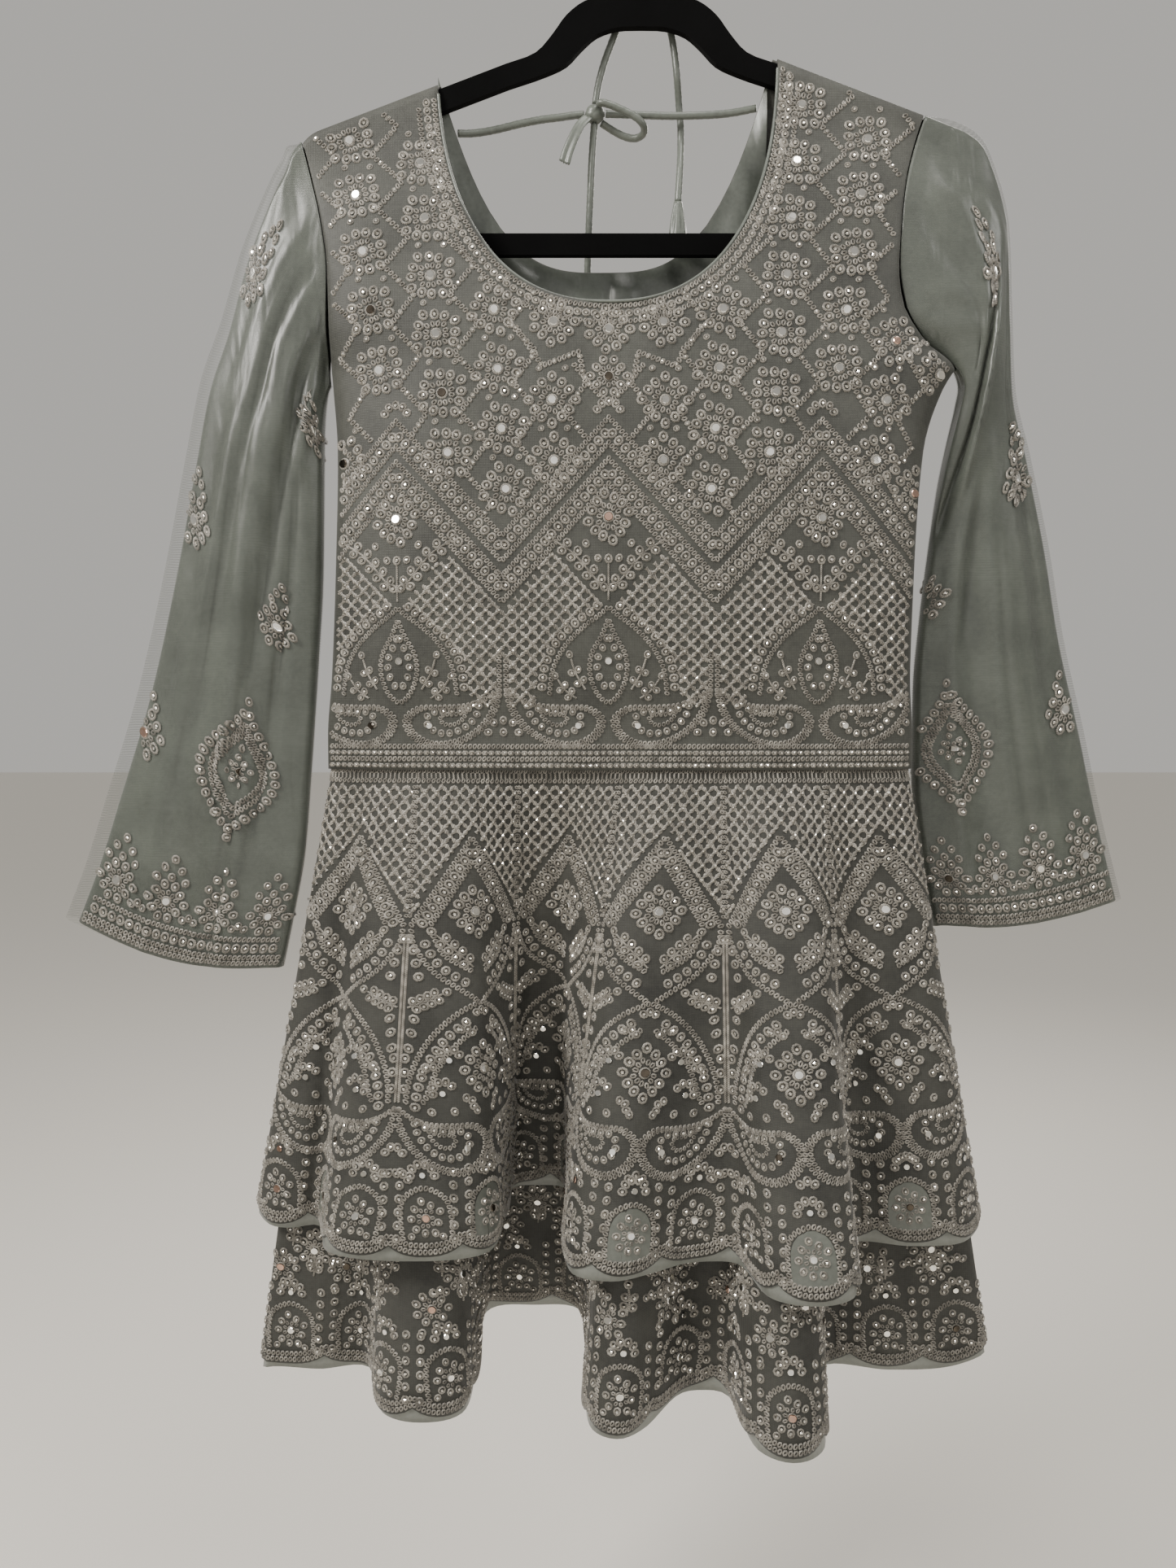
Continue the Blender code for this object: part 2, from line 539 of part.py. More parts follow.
def facingGrid(folds, tier, side):
    hem = hemPlan(folds, tier, side)
    waist = waistPlan(side, tier.inset)
    length = waistZ - hem[:, 2]
    rows = []
    for fall in (facingPeek - facingHeight, facingPeek):
        row = tierRow(waist, hem, 1.0 + fall / length)
        rows.append(movedIn(row, side, (tierWall + facingWall) / 2.0 + facingGap))
    return np.array(rows)[:, 2:-2]


def addMaterial(obj, colour, roughness, metallic=0.0):
    material = bpy.data.materials.new(obj.name + "_finish")
    material.use_nodes = True
    shader = material.node_tree.nodes["Principled BSDF"]
    shader.inputs["Base Color"].default_value = (*colour, 1.0)
    shader.inputs["Roughness"].default_value = roughness
    shader.inputs["Metallic"].default_value = metallic
    obj.data.materials.clear()
    obj.data.materials.append(material)


embroidered = ((0.16, 0.165, 0.155), 0.55)
satin = ((0.22, 0.24, 0.22), 0.35)
velvet = ((0.012, 0.012, 0.012), 0.9)
chrome = ((0.75, 0.75, 0.76), 0.18)


def clothSolid(name, grids, wall, finish, ring=False):
    """An open sheet made of one or more grids of quads, thickened to a wall."""
    mesh = bpy.data.meshes.new(name)
    build = bmesh.new()
    for grid in grids:
        rows, columns = grid.shape[:2]
        points = [[build.verts.new(Vector(grid[i, j]) * mm) for j in range(columns)] for i in range(rows)]
        last = columns if ring else columns - 1
        for i in range(rows - 1):
            for j in range(last):
                k = (j + 1) % columns
                build.faces.new((points[i][j], points[i + 1][j], points[i + 1][k], points[i][k]))
    bmesh.ops.remove_doubles(build, verts=build.verts, dist=0.001 * mm)
    bmesh.ops.recalc_face_normals(build, faces=build.faces)
    build.to_mesh(mesh)
    build.free()
    mesh.shade_smooth()
    obj = bpy.data.objects.new(name, mesh)
    garment.objects.link(obj)
    thicken = obj.modifiers.new("wall", "SOLIDIFY")
    thicken.thickness = wall * mm
    thicken.offset = 0.0
    addMaterial(obj, *finish)
    return obj


def tubeSolid(name, route, diameter, finish, samples, resolution=2):
    """A round tube on a smooth curve through the route."""
    points = evenly(throughPoints(route, 8), samples, 3)
    curve = bpy.data.curves.new(name, "CURVE")
    curve.dimensions = "3D"
    curve.bevel_depth = diameter / 2.0 * mm
    curve.bevel_resolution = resolution
    curve.use_fill_caps = True
    spline = curve.splines.new("POLY")
    spline.points.add(len(points) - 1)
    for point, place in zip(spline.points, points):
        point.co = (*(place * mm), 1.0)
    obj = bpy.data.objects.new(name, curve)
    garment.objects.link(obj)
    addMaterial(obj, *finish)
    return obj


def arcPoints(centre, radius, start, end, count):
    angles = np.radians(np.linspace(start, end, count))
    return [(centre[0] + radius * math.cos(a), centre[1] + radius * math.sin(a)) for a in angles]


def hangerOutline():
    """Right half of the outside, from the top of the arch round the tip to the middle of the bar."""
    lean = math.degrees(math.atan(armSlope))
    tipX = hangerHalfWidth - tipRadius
    tipZ = float(armTop(tipX + tipRadius * math.sin(math.radians(lean)))) - tipRadius * math.cos(
        math.radians(lean))
    arch = [(0.0, archTopZ), (18.0, archTopZ - 0.8), (33.0, archTopZ - 4.0), (44.0, archTopZ - 12.0),
            (52.0, archTopZ - 22.5), (armJunction[0], armJunction[1]), (80.0, float(armTop(80.0)))]
    arch = [tuple(point) for point in throughPoints(arch, 3)]
    tip = arcPoints((tipX, tipZ), tipRadius, 90.0 - lean, -50.0, 7)
    end = tip[-1]
    foot = [(172.0, barBottomZ + 10.5), (152.0, barBottomZ + 1.8), (128.0, barBottomZ)]
    sweep = [tuple(point) for point in throughPoints([end, foot[0], foot[1], foot[2]], 3)][1:]
    return arch + tip + sweep + [(0.0, barBottomZ)]


def hangerHole():
    """Right half of the gap inside the frame."""
    arch = [(0.0, archInnerZ), (14.0, archInnerZ - 0.6), (26.0, archInnerZ - 4.5), (35.0, archInnerZ - 12.0),
            (44.0, archInnerZ - 21.0), (57.0, armJunction[1] - armHeight + 1.0),
            (78.0, float(armTop(78.0)) - armHeight)]
    arch = [tuple(point) for point in throughPoints(arch, 3)]
    corner = [(168.0, float(armTop(168.0)) - armHeight), (181.0, float(armTop(181.0)) - armHeight - 2.0),
              (181.5, -176.0), (168.0, barTopZ + 15.0), (150.0, barTopZ + 3.4), (128.0, barTopZ)]
    corner = [tuple(point) for point in throughPoints(corner, 3)]
    return arch + corner + [(0.0, barTopZ)]


def flatFrame(name, outlines, thickness, finish):
    """A flat frame cut to its outlines, standing in the X-Z plane."""
    curve = bpy.data.curves.new(name, "CURVE")
    curve.dimensions = "2D"
    curve.fill_mode = "BOTH"
    curve.extrude = thickness / 2.0 * mm
    for half in outlines:
        outline = half + [(-x, z) for x, z in reversed(half[1:-1])]
        spline = curve.splines.new("POLY")
        spline.points.add(len(outline) - 1)
        spline.use_cyclic_u = True
        for point, place in zip(spline.points, outline):
            point.co = (place[0] * mm, place[1] * mm, 0.0, 1.0)
    obj = bpy.data.objects.new(name, curve)
    obj.rotation_euler = (math.pi / 2.0, 0.0, 0.0)
    garment.objects.link(obj)
    addMaterial(obj, *finish)
    return obj


def coneSolid(name, top, finish):
    """A tassel: a cone of folded satin, narrow end up."""
    centre = Vector((top[0], top[1], top[2] - tasselGap - tasselLength / 2.0)) * mm
    bpy.ops.mesh.primitive_cone_add(vertices=16, radius1=tasselBottom / 2.0 * mm, radius2=tasselTop / 2.0 * mm,
                                    depth=tasselLength * mm, location=centre)
    obj = bpy.context.object
    obj.name = name
    obj.data.name = name
    for collection in list(obj.users_collection):
        collection.objects.unlink(obj)
    garment.objects.link(obj)
    addMaterial(obj, *finish)
    return obj


def knotSolid(name, finish):
    bpy.ops.mesh.primitive_uv_sphere_add(segments=14, ring_count=8, radius=1.0,
                                         location=Vector(knotCentre) * mm)
    obj = bpy.context.object
    obj.name = name
    obj.data.name = name
    for vertex in obj.data.vertices:
        vertex.co = Vector((vertex.co.x * knotRadii[0], vertex.co.y * knotRadii[1],
                            vertex.co.z * knotRadii[2])) * mm
    obj.data.shade_smooth()
    for collection in list(obj.users_collection):
        collection.objects.unlink(obj)
    garment.objects.link(obj)
    addMaterial(obj, *finish)
    return obj


def cutEndSolid(name, finish):
    """The short flat end beside the knot: a strip along its route."""
    middle = evenly(throughPoints(cutEndRoute, 6), 7, 3)
    across = np.array((0.86, -0.2, -0.47)) * cutEndSize[0] / 2.0
    grid = np.stack((middle - across, middle + across), axis=1)
    return clothSolid(name, [grid], cutEndSize[1], finish)


def hookSolid(name, finish):
    """The wire hook: a stem, then a bend round the rail."""
    centreZ = -hookRadius
    wireRadius = hookRadius + hookWire / 2.0
    bend = [(x, z) for x, z in arcPoints((0.0, centreZ), wireRadius, -38.0, 205.0, 16)]
    stem = [(0.0, archTopZ + 0.3), (0.0, archTopZ + 8.0), (1.0, archTopZ + 17.0), (5.5, centreZ - 25.5),
            (11.0, centreZ - 20.0)]
    route = [(x, 0.0, z) for x, z in stem + bend]
    return tubeSolid(name, route, hookWire, finish, 34, 2)


for old in list(bpy.data.objects):
    bpy.data.objects.remove(old)
garment = bpy.data.collections.new("peplum_top_on_hanger")
bpy.context.scene.collection.children.link(garment)

clothSolid("bodice_front", bodiceBlocks(-1, frontNeck), bodiceWall, embroidered)
clothSolid("bodice_back", bodiceBlocks(1, backNeck), bodiceWall, embroidered)
clothSolid("sleeve_left", [sleeveGrid(leftSleeve, leftCreases, -1)], sleeveWall, satin, ring=True)
clothSolid("sleeve_right", [sleeveGrid(rightSleeve, rightCreases, 1)], sleeveWall, satin, ring=True)
for side, place, upper, lower in ((-1, "front", upperFront, lowerFront), (1, "back", upperBack, lowerBack)):
    clothSolid("peplum_upper_" + place, [tierGrid(upper, upperTier, side)], tierWall, embroidered)
    clothSolid("peplum_lower_" + place, [tierGrid(lower, lowerTier, side)], tierWall, embroidered)
    clothSolid("facing_upper_" + place, [facingGrid(upper, upperTier, side)], facingWall, satin)
    clothSolid("facing_lower_" + place, [facingGrid(lower, lowerTier, side)], facingWall, satin)

flatFrame("hanger_frame", (hangerOutline(), hangerHole()), hangerThickness, velvet)
hookSolid("hanger_hook", chrome)

tubeSolid("tie_left", leftTieRoute, tieDiameter, satin, 9)
tubeSolid("tie_right", rightTieRoute, tieDiameter, satin, 10)
tubeSolid("tie_tail_up", upTailRoute, tieDiameter, satin, 34)
tubeSolid("tie_tail_down", downTailRoute, tieDiameter, satin, 20)
tubeSolid("tie_bow", bowRoute, tieDiameter, satin, 20)
cutEndSolid("tie_cut_end", satin)
knotSolid("tie_knot", satin)
coneSolid("tassel_up", upTailRoute[-1], satin)
coneSolid("tassel_down", downTailRoute[-1], satin)
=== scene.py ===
# Embroidered two-tier peplum top on a flat velvet hanger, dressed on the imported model
# Sizes are in millimetres and become metres as each mesh is made; camera, floor and lights are in metres
import math
from collections import namedtuple
from functools import lru_cache

import bpy
import numpy as np
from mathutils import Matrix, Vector


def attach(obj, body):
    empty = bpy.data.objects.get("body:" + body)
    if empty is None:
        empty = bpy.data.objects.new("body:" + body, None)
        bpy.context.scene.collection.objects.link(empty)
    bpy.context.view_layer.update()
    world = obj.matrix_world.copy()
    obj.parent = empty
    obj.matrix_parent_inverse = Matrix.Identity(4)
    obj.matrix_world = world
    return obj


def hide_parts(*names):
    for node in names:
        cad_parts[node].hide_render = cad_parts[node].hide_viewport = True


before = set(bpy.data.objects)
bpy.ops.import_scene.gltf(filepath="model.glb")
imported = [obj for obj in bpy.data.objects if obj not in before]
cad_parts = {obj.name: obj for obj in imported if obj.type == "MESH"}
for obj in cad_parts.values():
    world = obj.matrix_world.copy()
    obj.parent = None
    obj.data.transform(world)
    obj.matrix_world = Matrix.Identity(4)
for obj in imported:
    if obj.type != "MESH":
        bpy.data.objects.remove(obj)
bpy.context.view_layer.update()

mm = 0.001
fullTurn = 2 * math.pi
upward = math.pi / 2


# A hex colour as linear values
def srgb(code):
    parts = [int(code[i:i + 2], 16) / 255 for i in (0, 2, 4)]
    return (*[p / 12.92 if p <= 0.04045 else ((p + 0.055) / 1.055) ** 2.4 for p in parts], 1)


# Camera at the photograph's place, tilted down a little from level (90)
view = {"lens": 27.03, "sensor": 36, "nearest": 0.02, "place": (-0.03137, -0.720, -0.49565), "tilt": 86.5}
camera = bpy.data.objects.new("camera", bpy.data.cameras.new("camera"))
bpy.context.scene.collection.objects.link(camera)
bpy.context.scene.camera = camera
camera.data.lens = view["lens"]
camera.data.sensor_width = view["sensor"]
camera.data.clip_start = view["nearest"]
camera.location = view["place"]
camera.rotation_euler = (math.radians(view["tilt"]), 0, 0)
print("camera set")


# A smooth curve through points, with spans that share their length fairly (centripetal Catmull-Rom)
def throughPoints(points, perSpan):
    points = [np.array(point, float) for point in points]
    points = [2 * points[0] - points[1]] + points + [2 * points[-1] - points[-2]]
    curve = []
    for a, b, c, d in zip(points, points[1:], points[2:], points[3:]):
        knots = [0]
        for p, q in ((a, b), (b, c), (c, d)):
            knots.append(knots[-1] + max(np.linalg.norm(q - p), 1e-6) ** 0.5)
        for t in np.linspace(knots[1], knots[2], perSpan, endpoint=False):
            ab = a + (b - a) * (t - knots[0]) / (knots[1] - knots[0])
            bc = b + (c - b) * (t - knots[1]) / (knots[2] - knots[1])
            cd = c + (d - c) * (t - knots[2]) / (knots[3] - knots[2])
            abc = ab + (bc - ab) * (t - knots[0]) / (knots[2] - knots[0])
            bcd = bc + (cd - bc) * (t - knots[1]) / (knots[3] - knots[1])
            curve.append(abc + (bcd - abc) * (t - knots[1]) / (knots[2] - knots[1]))
    curve.append(points[-2])
    return np.array(curve)


# The curve at equal shares of its length
def evenly(curve, count, dimensions=2):
    steps = np.linalg.norm(np.diff(curve[:, :dimensions], axis=0), axis=1)
    length = np.concatenate(((0,), np.cumsum(steps)))
    wanted = np.linspace(0, length[-1], count)
    return np.stack([np.interp(wanted, length, column) for column in curve.T], axis=1)


# A table's rows, each with its columns' names
def table(kind, *rows):
    return tuple(kind(*row) for row in rows)


def smoothStep(value):
    value = np.clip(value, 0, 1)
    return value * value * (3 - 2 * value)


def unit(vectors):
    return vectors / np.maximum(np.linalg.norm(vectors, axis=-1), 1e-9)[..., None]


# Angles of evenly spaced places round a ring
def ringAngles(count):
    return np.linspace(0, fullTurn, count, endpoint=False)


# A mesh object from arrays in millimetres; faces is a list of index arrays
def makeObject(name, verts, faces, materials, smooth=True, uvs=None):
    mesh = bpy.data.meshes.new(name)
    mesh.vertices.add(len(verts))
    mesh.vertices.foreach_set("co", (np.asarray(verts, np.float32) * mm).ravel())
    sizes = np.concatenate([np.full(len(f), f.shape[1]) for f in faces])
    loops = np.concatenate([f.ravel() for f in faces])
    mesh.loops.add(len(loops))
    mesh.loops.foreach_set("vertex_index", loops.astype(np.int32))
    mesh.polygons.add(len(sizes))
    starts = np.concatenate(((0,), np.cumsum(sizes)[:-1]))
    mesh.polygons.foreach_set("loop_start", starts.astype(np.int32))
    mesh.polygons.foreach_set("loop_total", sizes.astype(np.int32))
    if uvs is not None:
        layer = mesh.uv_layers.new(name="UVMap")
        layer.data.foreach_set("uv", np.asarray(uvs, np.float32)[loops].ravel())
    mesh.update(calc_edges=True)
    mesh.validate()
    if smooth:
        mesh.shade_smooth()
    else:
        mesh.shade_flat()
    obj = bpy.data.objects.new(name, mesh)
    bpy.context.scene.collection.objects.link(obj)
    for material in materials:
        mesh.materials.append(material)
    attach(obj, "root")
    return obj


def gridFaces(rows, columns, ring=False, start=0):
    i, j = np.meshgrid(np.arange(rows - 1), np.arange(columns if ring else columns - 1), indexing="ij")
    here, beside = i * columns + j, i * columns + (j + 1) % columns
    return np.stack((here, here + columns, beside + columns, beside), axis=-1).reshape(-1, 4) + start


# A mesh object from one grid of points; a ring can be capped at both ends, and flip turns its faces over
def gridObject(name, grid, material, ring=False, capped=False, flip=False):
    rows, columns = grid.shape[:2]
    faces = [gridFaces(rows, columns, ring)]
    if capped:
        faces += [np.arange(columns)[None, :], np.arange(columns)[::-1][None, :] + (rows - 1) * columns]
    if flip:
        faces = [face[:, ::-1] for face in faces]
    return makeObject(name, grid.reshape(-1, 3), faces, [material])


# Unit normals of a grid of points, whose last column meets its first in a ring
def gridNormals(grid, ring=False):
    if ring:
        wide = np.concatenate((grid[:, -1:], grid, grid[:, :1]), axis=1)
        across = (wide[:, 2:] - wide[:, :-2]) / 2
    else:
        across = np.gradient(grid, axis=1)
    return unit(np.cross(across, np.gradient(grid, axis=0)))


# An open sheet made of grids of quads, thickened to a thin wall
def shell(name, grids, wall, material, node, ring=False):
    verts = np.concatenate([g.reshape(-1, 3) for g in grids])
    starts = np.concatenate(((0,), np.cumsum([g.shape[0] * g.shape[1] for g in grids])[:-1]))
    faces = [gridFaces(g.shape[0], g.shape[1], ring, s) for g, s in zip(grids, starts)]
    obj = makeObject(name, verts, faces, [material], uvs=verts[:, [0, 2]])
    if len(grids) > 1:
        weld = obj.modifiers.new("weld", "WELD")
        weld.merge_threshold = 0.01 * mm
    thicken = obj.modifiers.new("wall", "SOLIDIFY")
    thicken.thickness = wall * mm
    thicken.offset = 0
    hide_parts(node)
    return obj


# A material and its nodes, with constants set on the shader's own sockets
def newMaterial(name, shaderInputs):
    material = bpy.data.materials.new(name)
    material.use_nodes = True
    shader = material.node_tree.nodes["Principled BSDF"]
    for key, value in shaderInputs.items():
        shader.inputs[key].default_value = value
    return material, material.node_tree, shader


# A node with its settings, values and links (input: (node, output)); a colour ramp also gets its stops
def addNode(tree, kind, inputs=None, links=None, stops=(), **settings):
    node = tree.nodes.new(kind)
    for key, value in settings.items():
        setattr(node, key, value)
    for key, value in (inputs or {}).items():
        node.inputs[key].default_value = value
    for key, (source, output) in (links or {}).items():
        tree.links.new(source.outputs[output], node.inputs[key])
    if stops:
        marks = node.color_ramp.elements
        for mark, (place, code) in ((marks[0], stops[0]), (marks[1], stops[-1])):
            mark.position = place
            mark.color = srgb(code)
        for place, code in stops[1:-1]:
            marks.new(place).color = srgb(code)
    return node


# Sizes of the materials' patterns. Real yarns lie 0.1 to 0.3 mm apart and a thread's strands turn every
# 0.4 mm, too fine to show, so yarns are drawn 0.35 to 0.9 mm apart and a turn as long as here
pattern = {"blotch": 35.714, "slub": 2.381, "ripple": (15.625, 33.333, 66.667), "plating": 3.846,
           "organzaRib": 1.496, "strandTurn": 1.1424, "threadPatch": 4.1667, "stoneCloud": 1.923,
           "mirrorCloud": 6.25}
shares = {"blotch": 0.6, "slub": 0.25, "weave": 0.22}  # of the shade of a woven cloth


def noiseScale(size):  # noise cells in a metre
    return 1 / (size * mm)


def waveScale(spacing):  # a wave texture runs through 20 radians in a metre at scale 1
    return fullTurn / (spacing * mm) / 20


# Cloth woven of fine threads: a warp and a weft wave, soft blotches of shade, and bump
def wovenMaterial(name, dark, light, roughness, sheen, threadMm, bumpMm, soft=0):
    material, tree, shader = newMaterial(name, {"Roughness": roughness, "Sheen Weight": sheen,
                                                "Sheen Roughness": 0.4})
    place = addNode(tree, "ShaderNodeTexCoord")
    here = {"Vector": (place, "Object")}
    yarn = {"Scale": waveScale(threadMm), "Distortion": 1.2, "Detail": 1}
    warp, weft = [addNode(tree, "ShaderNodeTexWave", yarn, here, wave_type="BANDS", bands_direction=direction)
                  for direction in ("X", "Z")]
    weave = addNode(tree, "ShaderNodeMath", links={0: (warp, "Fac"), 1: (weft, "Fac")}, operation="MULTIPLY")
    blotch = addNode(tree, "ShaderNodeTexNoise",
                     {"Scale": noiseScale(pattern["blotch"]), "Detail": 3, "Roughness": 0.55}, here)
    slub = addNode(tree, "ShaderNodeTexNoise", {"Scale": noiseScale(pattern["slub"]), "Detail": 2}, here)
    shade = addNode(tree, "ShaderNodeMath", {1: shares["blotch"]}, {0: (blotch, "Fac")}, operation="MULTIPLY")
    for source, output, share in ((slub, "Fac", shares["slub"]), (weave, 0, shares["weave"])):
        shade = addNode(tree, "ShaderNodeMath", {1: share, 2: 0}, {0: (source, output), 2: (shade, 0)},
                        operation="MULTIPLY_ADD")
    ramp = addNode(tree, "ShaderNodeValToRGB", links={"Fac": (shade, 0)}, stops=((0.2, dark), (0.75, light)))
    tree.links.new(ramp.outputs["Color"], shader.inputs["Base Color"])
    bump = addNode(tree, "ShaderNodeBump", {"Strength": 0.7, "Distance": bumpMm * mm}, {"Height": (weave, 0)})
    if soft:  # long slack ripples that pull the highlights into streaks
        scale = tuple(noiseScale(size) for size in pattern["ripple"])
        long = addNode(tree, "ShaderNodeMapping", {"Scale": scale}, here)
        slack = addNode(tree, "ShaderNodeTexNoise", {"Scale": 1, "Detail": 2, "Distortion": 0.6},
                        {"Vector": (long, 0)})
        ripple = addNode(tree, "ShaderNodeBump", {"Strength": 0.6, "Distance": soft * mm},
                         {"Height": (slack, "Fac")})
        tree.links.new(ripple.outputs["Normal"], bump.inputs["Normal"])
    tree.links.new(bump.outputs["Normal"], shader.inputs["Normal"])
    return material


# Sheer organza laid on satin: the open net darkens the satin and its threads catch a low sheen
netCloth = wovenMaterial("organza_over_satin_woven", "232321", "474742", 0.6, 0.12, 0.9, 0.12)
# The bodice's satin shows more through its organza
bodiceCloth = wovenMaterial("organza_over_satin_taut", "262623", "50514b", 0.52, 0.12, 0.9, 0.12)
# Soft satin: long floats give a broad highlight across the folds
satinCloth = wovenMaterial("satin_woven_soft", "30332f", "62675f", 0.29, 0.05, 0.5, 0.03, 2.4)
hemSatin = wovenMaterial("satin_woven_pale", "585b55", "83867f", 0.34, 0.1, 0.5, 0.03, 0.8)
tieSatin = wovenMaterial("satin_tube_turned", "3c403b", "6c7169", 0.33, 0.08, 0.5, 0.03)
# Flocked velvet: short fibres standing on plastic, near black with a soft bright edge
velvet = wovenMaterial("velvet_flocked", "010101", "060606", 0.95, 0.03, 0.35, 0.08)
# Standing fibres and open net swallow most of the glint
for cloth, glint in ((velvet, 0.08), (netCloth, 0.25), (bodiceCloth, 0.3)):
    cloth.node_tree.nodes["Principled BSDF"].inputs["Specular IOR Level"].default_value = glint


# Polished chrome plate: a sharp mirror, a little uneven from the plating
def chromeMaterial():
    material, tree, shader = newMaterial("chrome_plated_polished",
                                         {"Metallic": 1, "Base Color": srgb("d8d8da"), "Roughness": 0.12})
    place = addNode(tree, "ShaderNodeTexCoord")
    noise = addNode(tree, "ShaderNodeTexNoise", {"Scale": noiseScale(pattern["plating"]), "Detail": 3},
                    {"Vector": (place, "Object")})
    rough = addNode(tree, "ShaderNodeMapRange", {"To Min": 0.08, "To Max": 0.2}, {"Value": (noise, "Fac")})
    tree.links.new(rough.outputs["Result"], shader.inputs["Roughness"])
    return material


# Sheer organza: stiff fine threads with open gaps, seen through and shiny at a low angle
def organzaMaterial():
    material, tree, shader = newMaterial("organza_woven_sheer", {
        "Roughness": 0.42, "Sheen Weight": 0.15, "Base Color": srgb("5d615a")})
    place = addNode(tree, "ShaderNodeTexCoord")
    rib = {"Scale": waveScale(pattern["organzaRib"]), "Distortion": 5, "Detail": 2, "Detail Scale": 0.3}
    wave = addNode(tree, "ShaderNodeTexWave", rib, {"Vector": (place, "Object")}, bands_direction="Z")
    alpha = addNode(tree, "ShaderNodeMapRange", {"To Min": 0.1, "To Max": 0.26}, {"Value": (wave, "Fac")})
    tree.links.new(alpha.outputs["Result"], shader.inputs["Alpha"])
    bump = addNode(tree, "ShaderNodeBump", {"Strength": 0.3, "Distance": 0.05 * mm},
                   {"Height": (wave, "Fac")})
    tree.links.new(bump.outputs["Normal"], shader.inputs["Normal"])
    return material


chrome = chromeMaterial()
organza = organzaMaterial()
print("materials made")


# Neck ties: satin tubes that follow the model's routes
tie = {"diameter": 4.4, "fill": 0.98, "ringPoints": 14, "stepMm": 1.3, "wrinkle": 0.035,
       "seam": 0.16, "seamWidth": 0.28}
leftTieRoute = (
    (-109.2, 6.4, -150.4), (-103, 7.8, -149.8), (-95, 9.2, -148.4), (-84, 10, -145.9),
    (-72, 10.3, -142.9), (-60, 10.6, -140.5), (-48, 10.8, -138.9), (-40, 11, -137.7),
    (-33.6, 11, -137.2),
)
rightTieRoute = (
    (69.2, 6.2, -135.8), (64, 7.4, -136.3), (56, 9, -137), (47, 10, -137.6),
    (33, 10.3, -138.1), (20, 10.6, -138.2), (6, 10.8, -137.8), (-8, 11, -137.2),
    (-20.8, 11, -136.8),
)
upTailRoute = (
    (-27, 11, -131.1), (-25.8, 10.8, -123), (-23.6, 10.2, -114), (-21, 9.4, -106),
    (-17.8, 8.8, -98), (-14.6, 8.2, -90), (-12.2, 7.2, -83), (-10.8, 6, -77.5),
    (-9.4, 4.6, -73.2), (-6.8, 0.6, -70.6), (-3, -3.9, -69.8), (3, -4.7, -69.6),
    (8.8, -2.2, -70.2), (12, 2.4, -71.6), (14, 5.4, -75.2), (15.6, 6.8, -80.2),
    (17, 8, -86.5), (18.8, 8.8, -94), (20.6, 9.4, -104), (22, 10.2, -116),
    (23.8, 16.5, -130), (24.9, 18, -141), (24.9, 16.6, -153), (24.3, 12, -166),
    (23.4, 9.8, -180), (22.8, 9.4, -189),
)
downTailRoute = (
    (-27.6, 11.2, -142.9), (-28.4, 12, -153), (-29.2, 13.2, -166), (-29.8, 14.6, -180),
    (-30.6, 17.4, -196), (-31.2, 20.6, -210), (-31.6, 23.4, -223), (-31.8, 24.9, -236),
    (-31.6, 25.8, -252), (-31.2, 26.6, -268), (-30.6, 27.6, -284), (-30, 28.7, -300),
    (-29.6, 29.8, -316), (-29.4, 30.9, -332), (-29.3, 31.6, -344),
)
bowRoute = (
    (-24.9, 5.3, -134.5), (-23.8, 3.2, -134.2), (-18, 2.9, -135.6), (-10, 3.6, -138.6),
    (-4, 4, -141.4), (0.2, 4.8, -144.4), (2.4, 8, -146.6), (1.6, 12.4, -148.2),
    (-2.6, 15.8, -148.8), (-8, 17, -147.6), (-14, 17, -145), (-19.2, 16.4, -142.2),
    (-23.3, 14.8, -140.3),
)
cutEndRoute = (
    (-31.2, 7.2, -140.4), (-35.6, 5.8, -145.4), (-39.4, 5, -152.4), (-43, 5, -160.6),
    (-45.4, 5.2, -168),
)


tasselCone = {"gap": 0.3, "height": 24, "topWide": 5.2, "rimWide": 12.6, "points": 56, "rows": 17,
              "fold": 0.055, "rimShare": 0.86, "hollowShare": 0.6, "hollow": 9}
knot = {"centre": (-27.2, 11, -137), "radii": (6, 5.5, 5.6), "rows": 33, "points": 56, "strand": 0.07,
        "gap": 0.05}
cutStrip = {"rows": 25, "columns": 13, "wide": 7, "wall": 1.1, "across": (0.86, -0.2, -0.47), "cup": 0.3,
            "fray": 0.5}


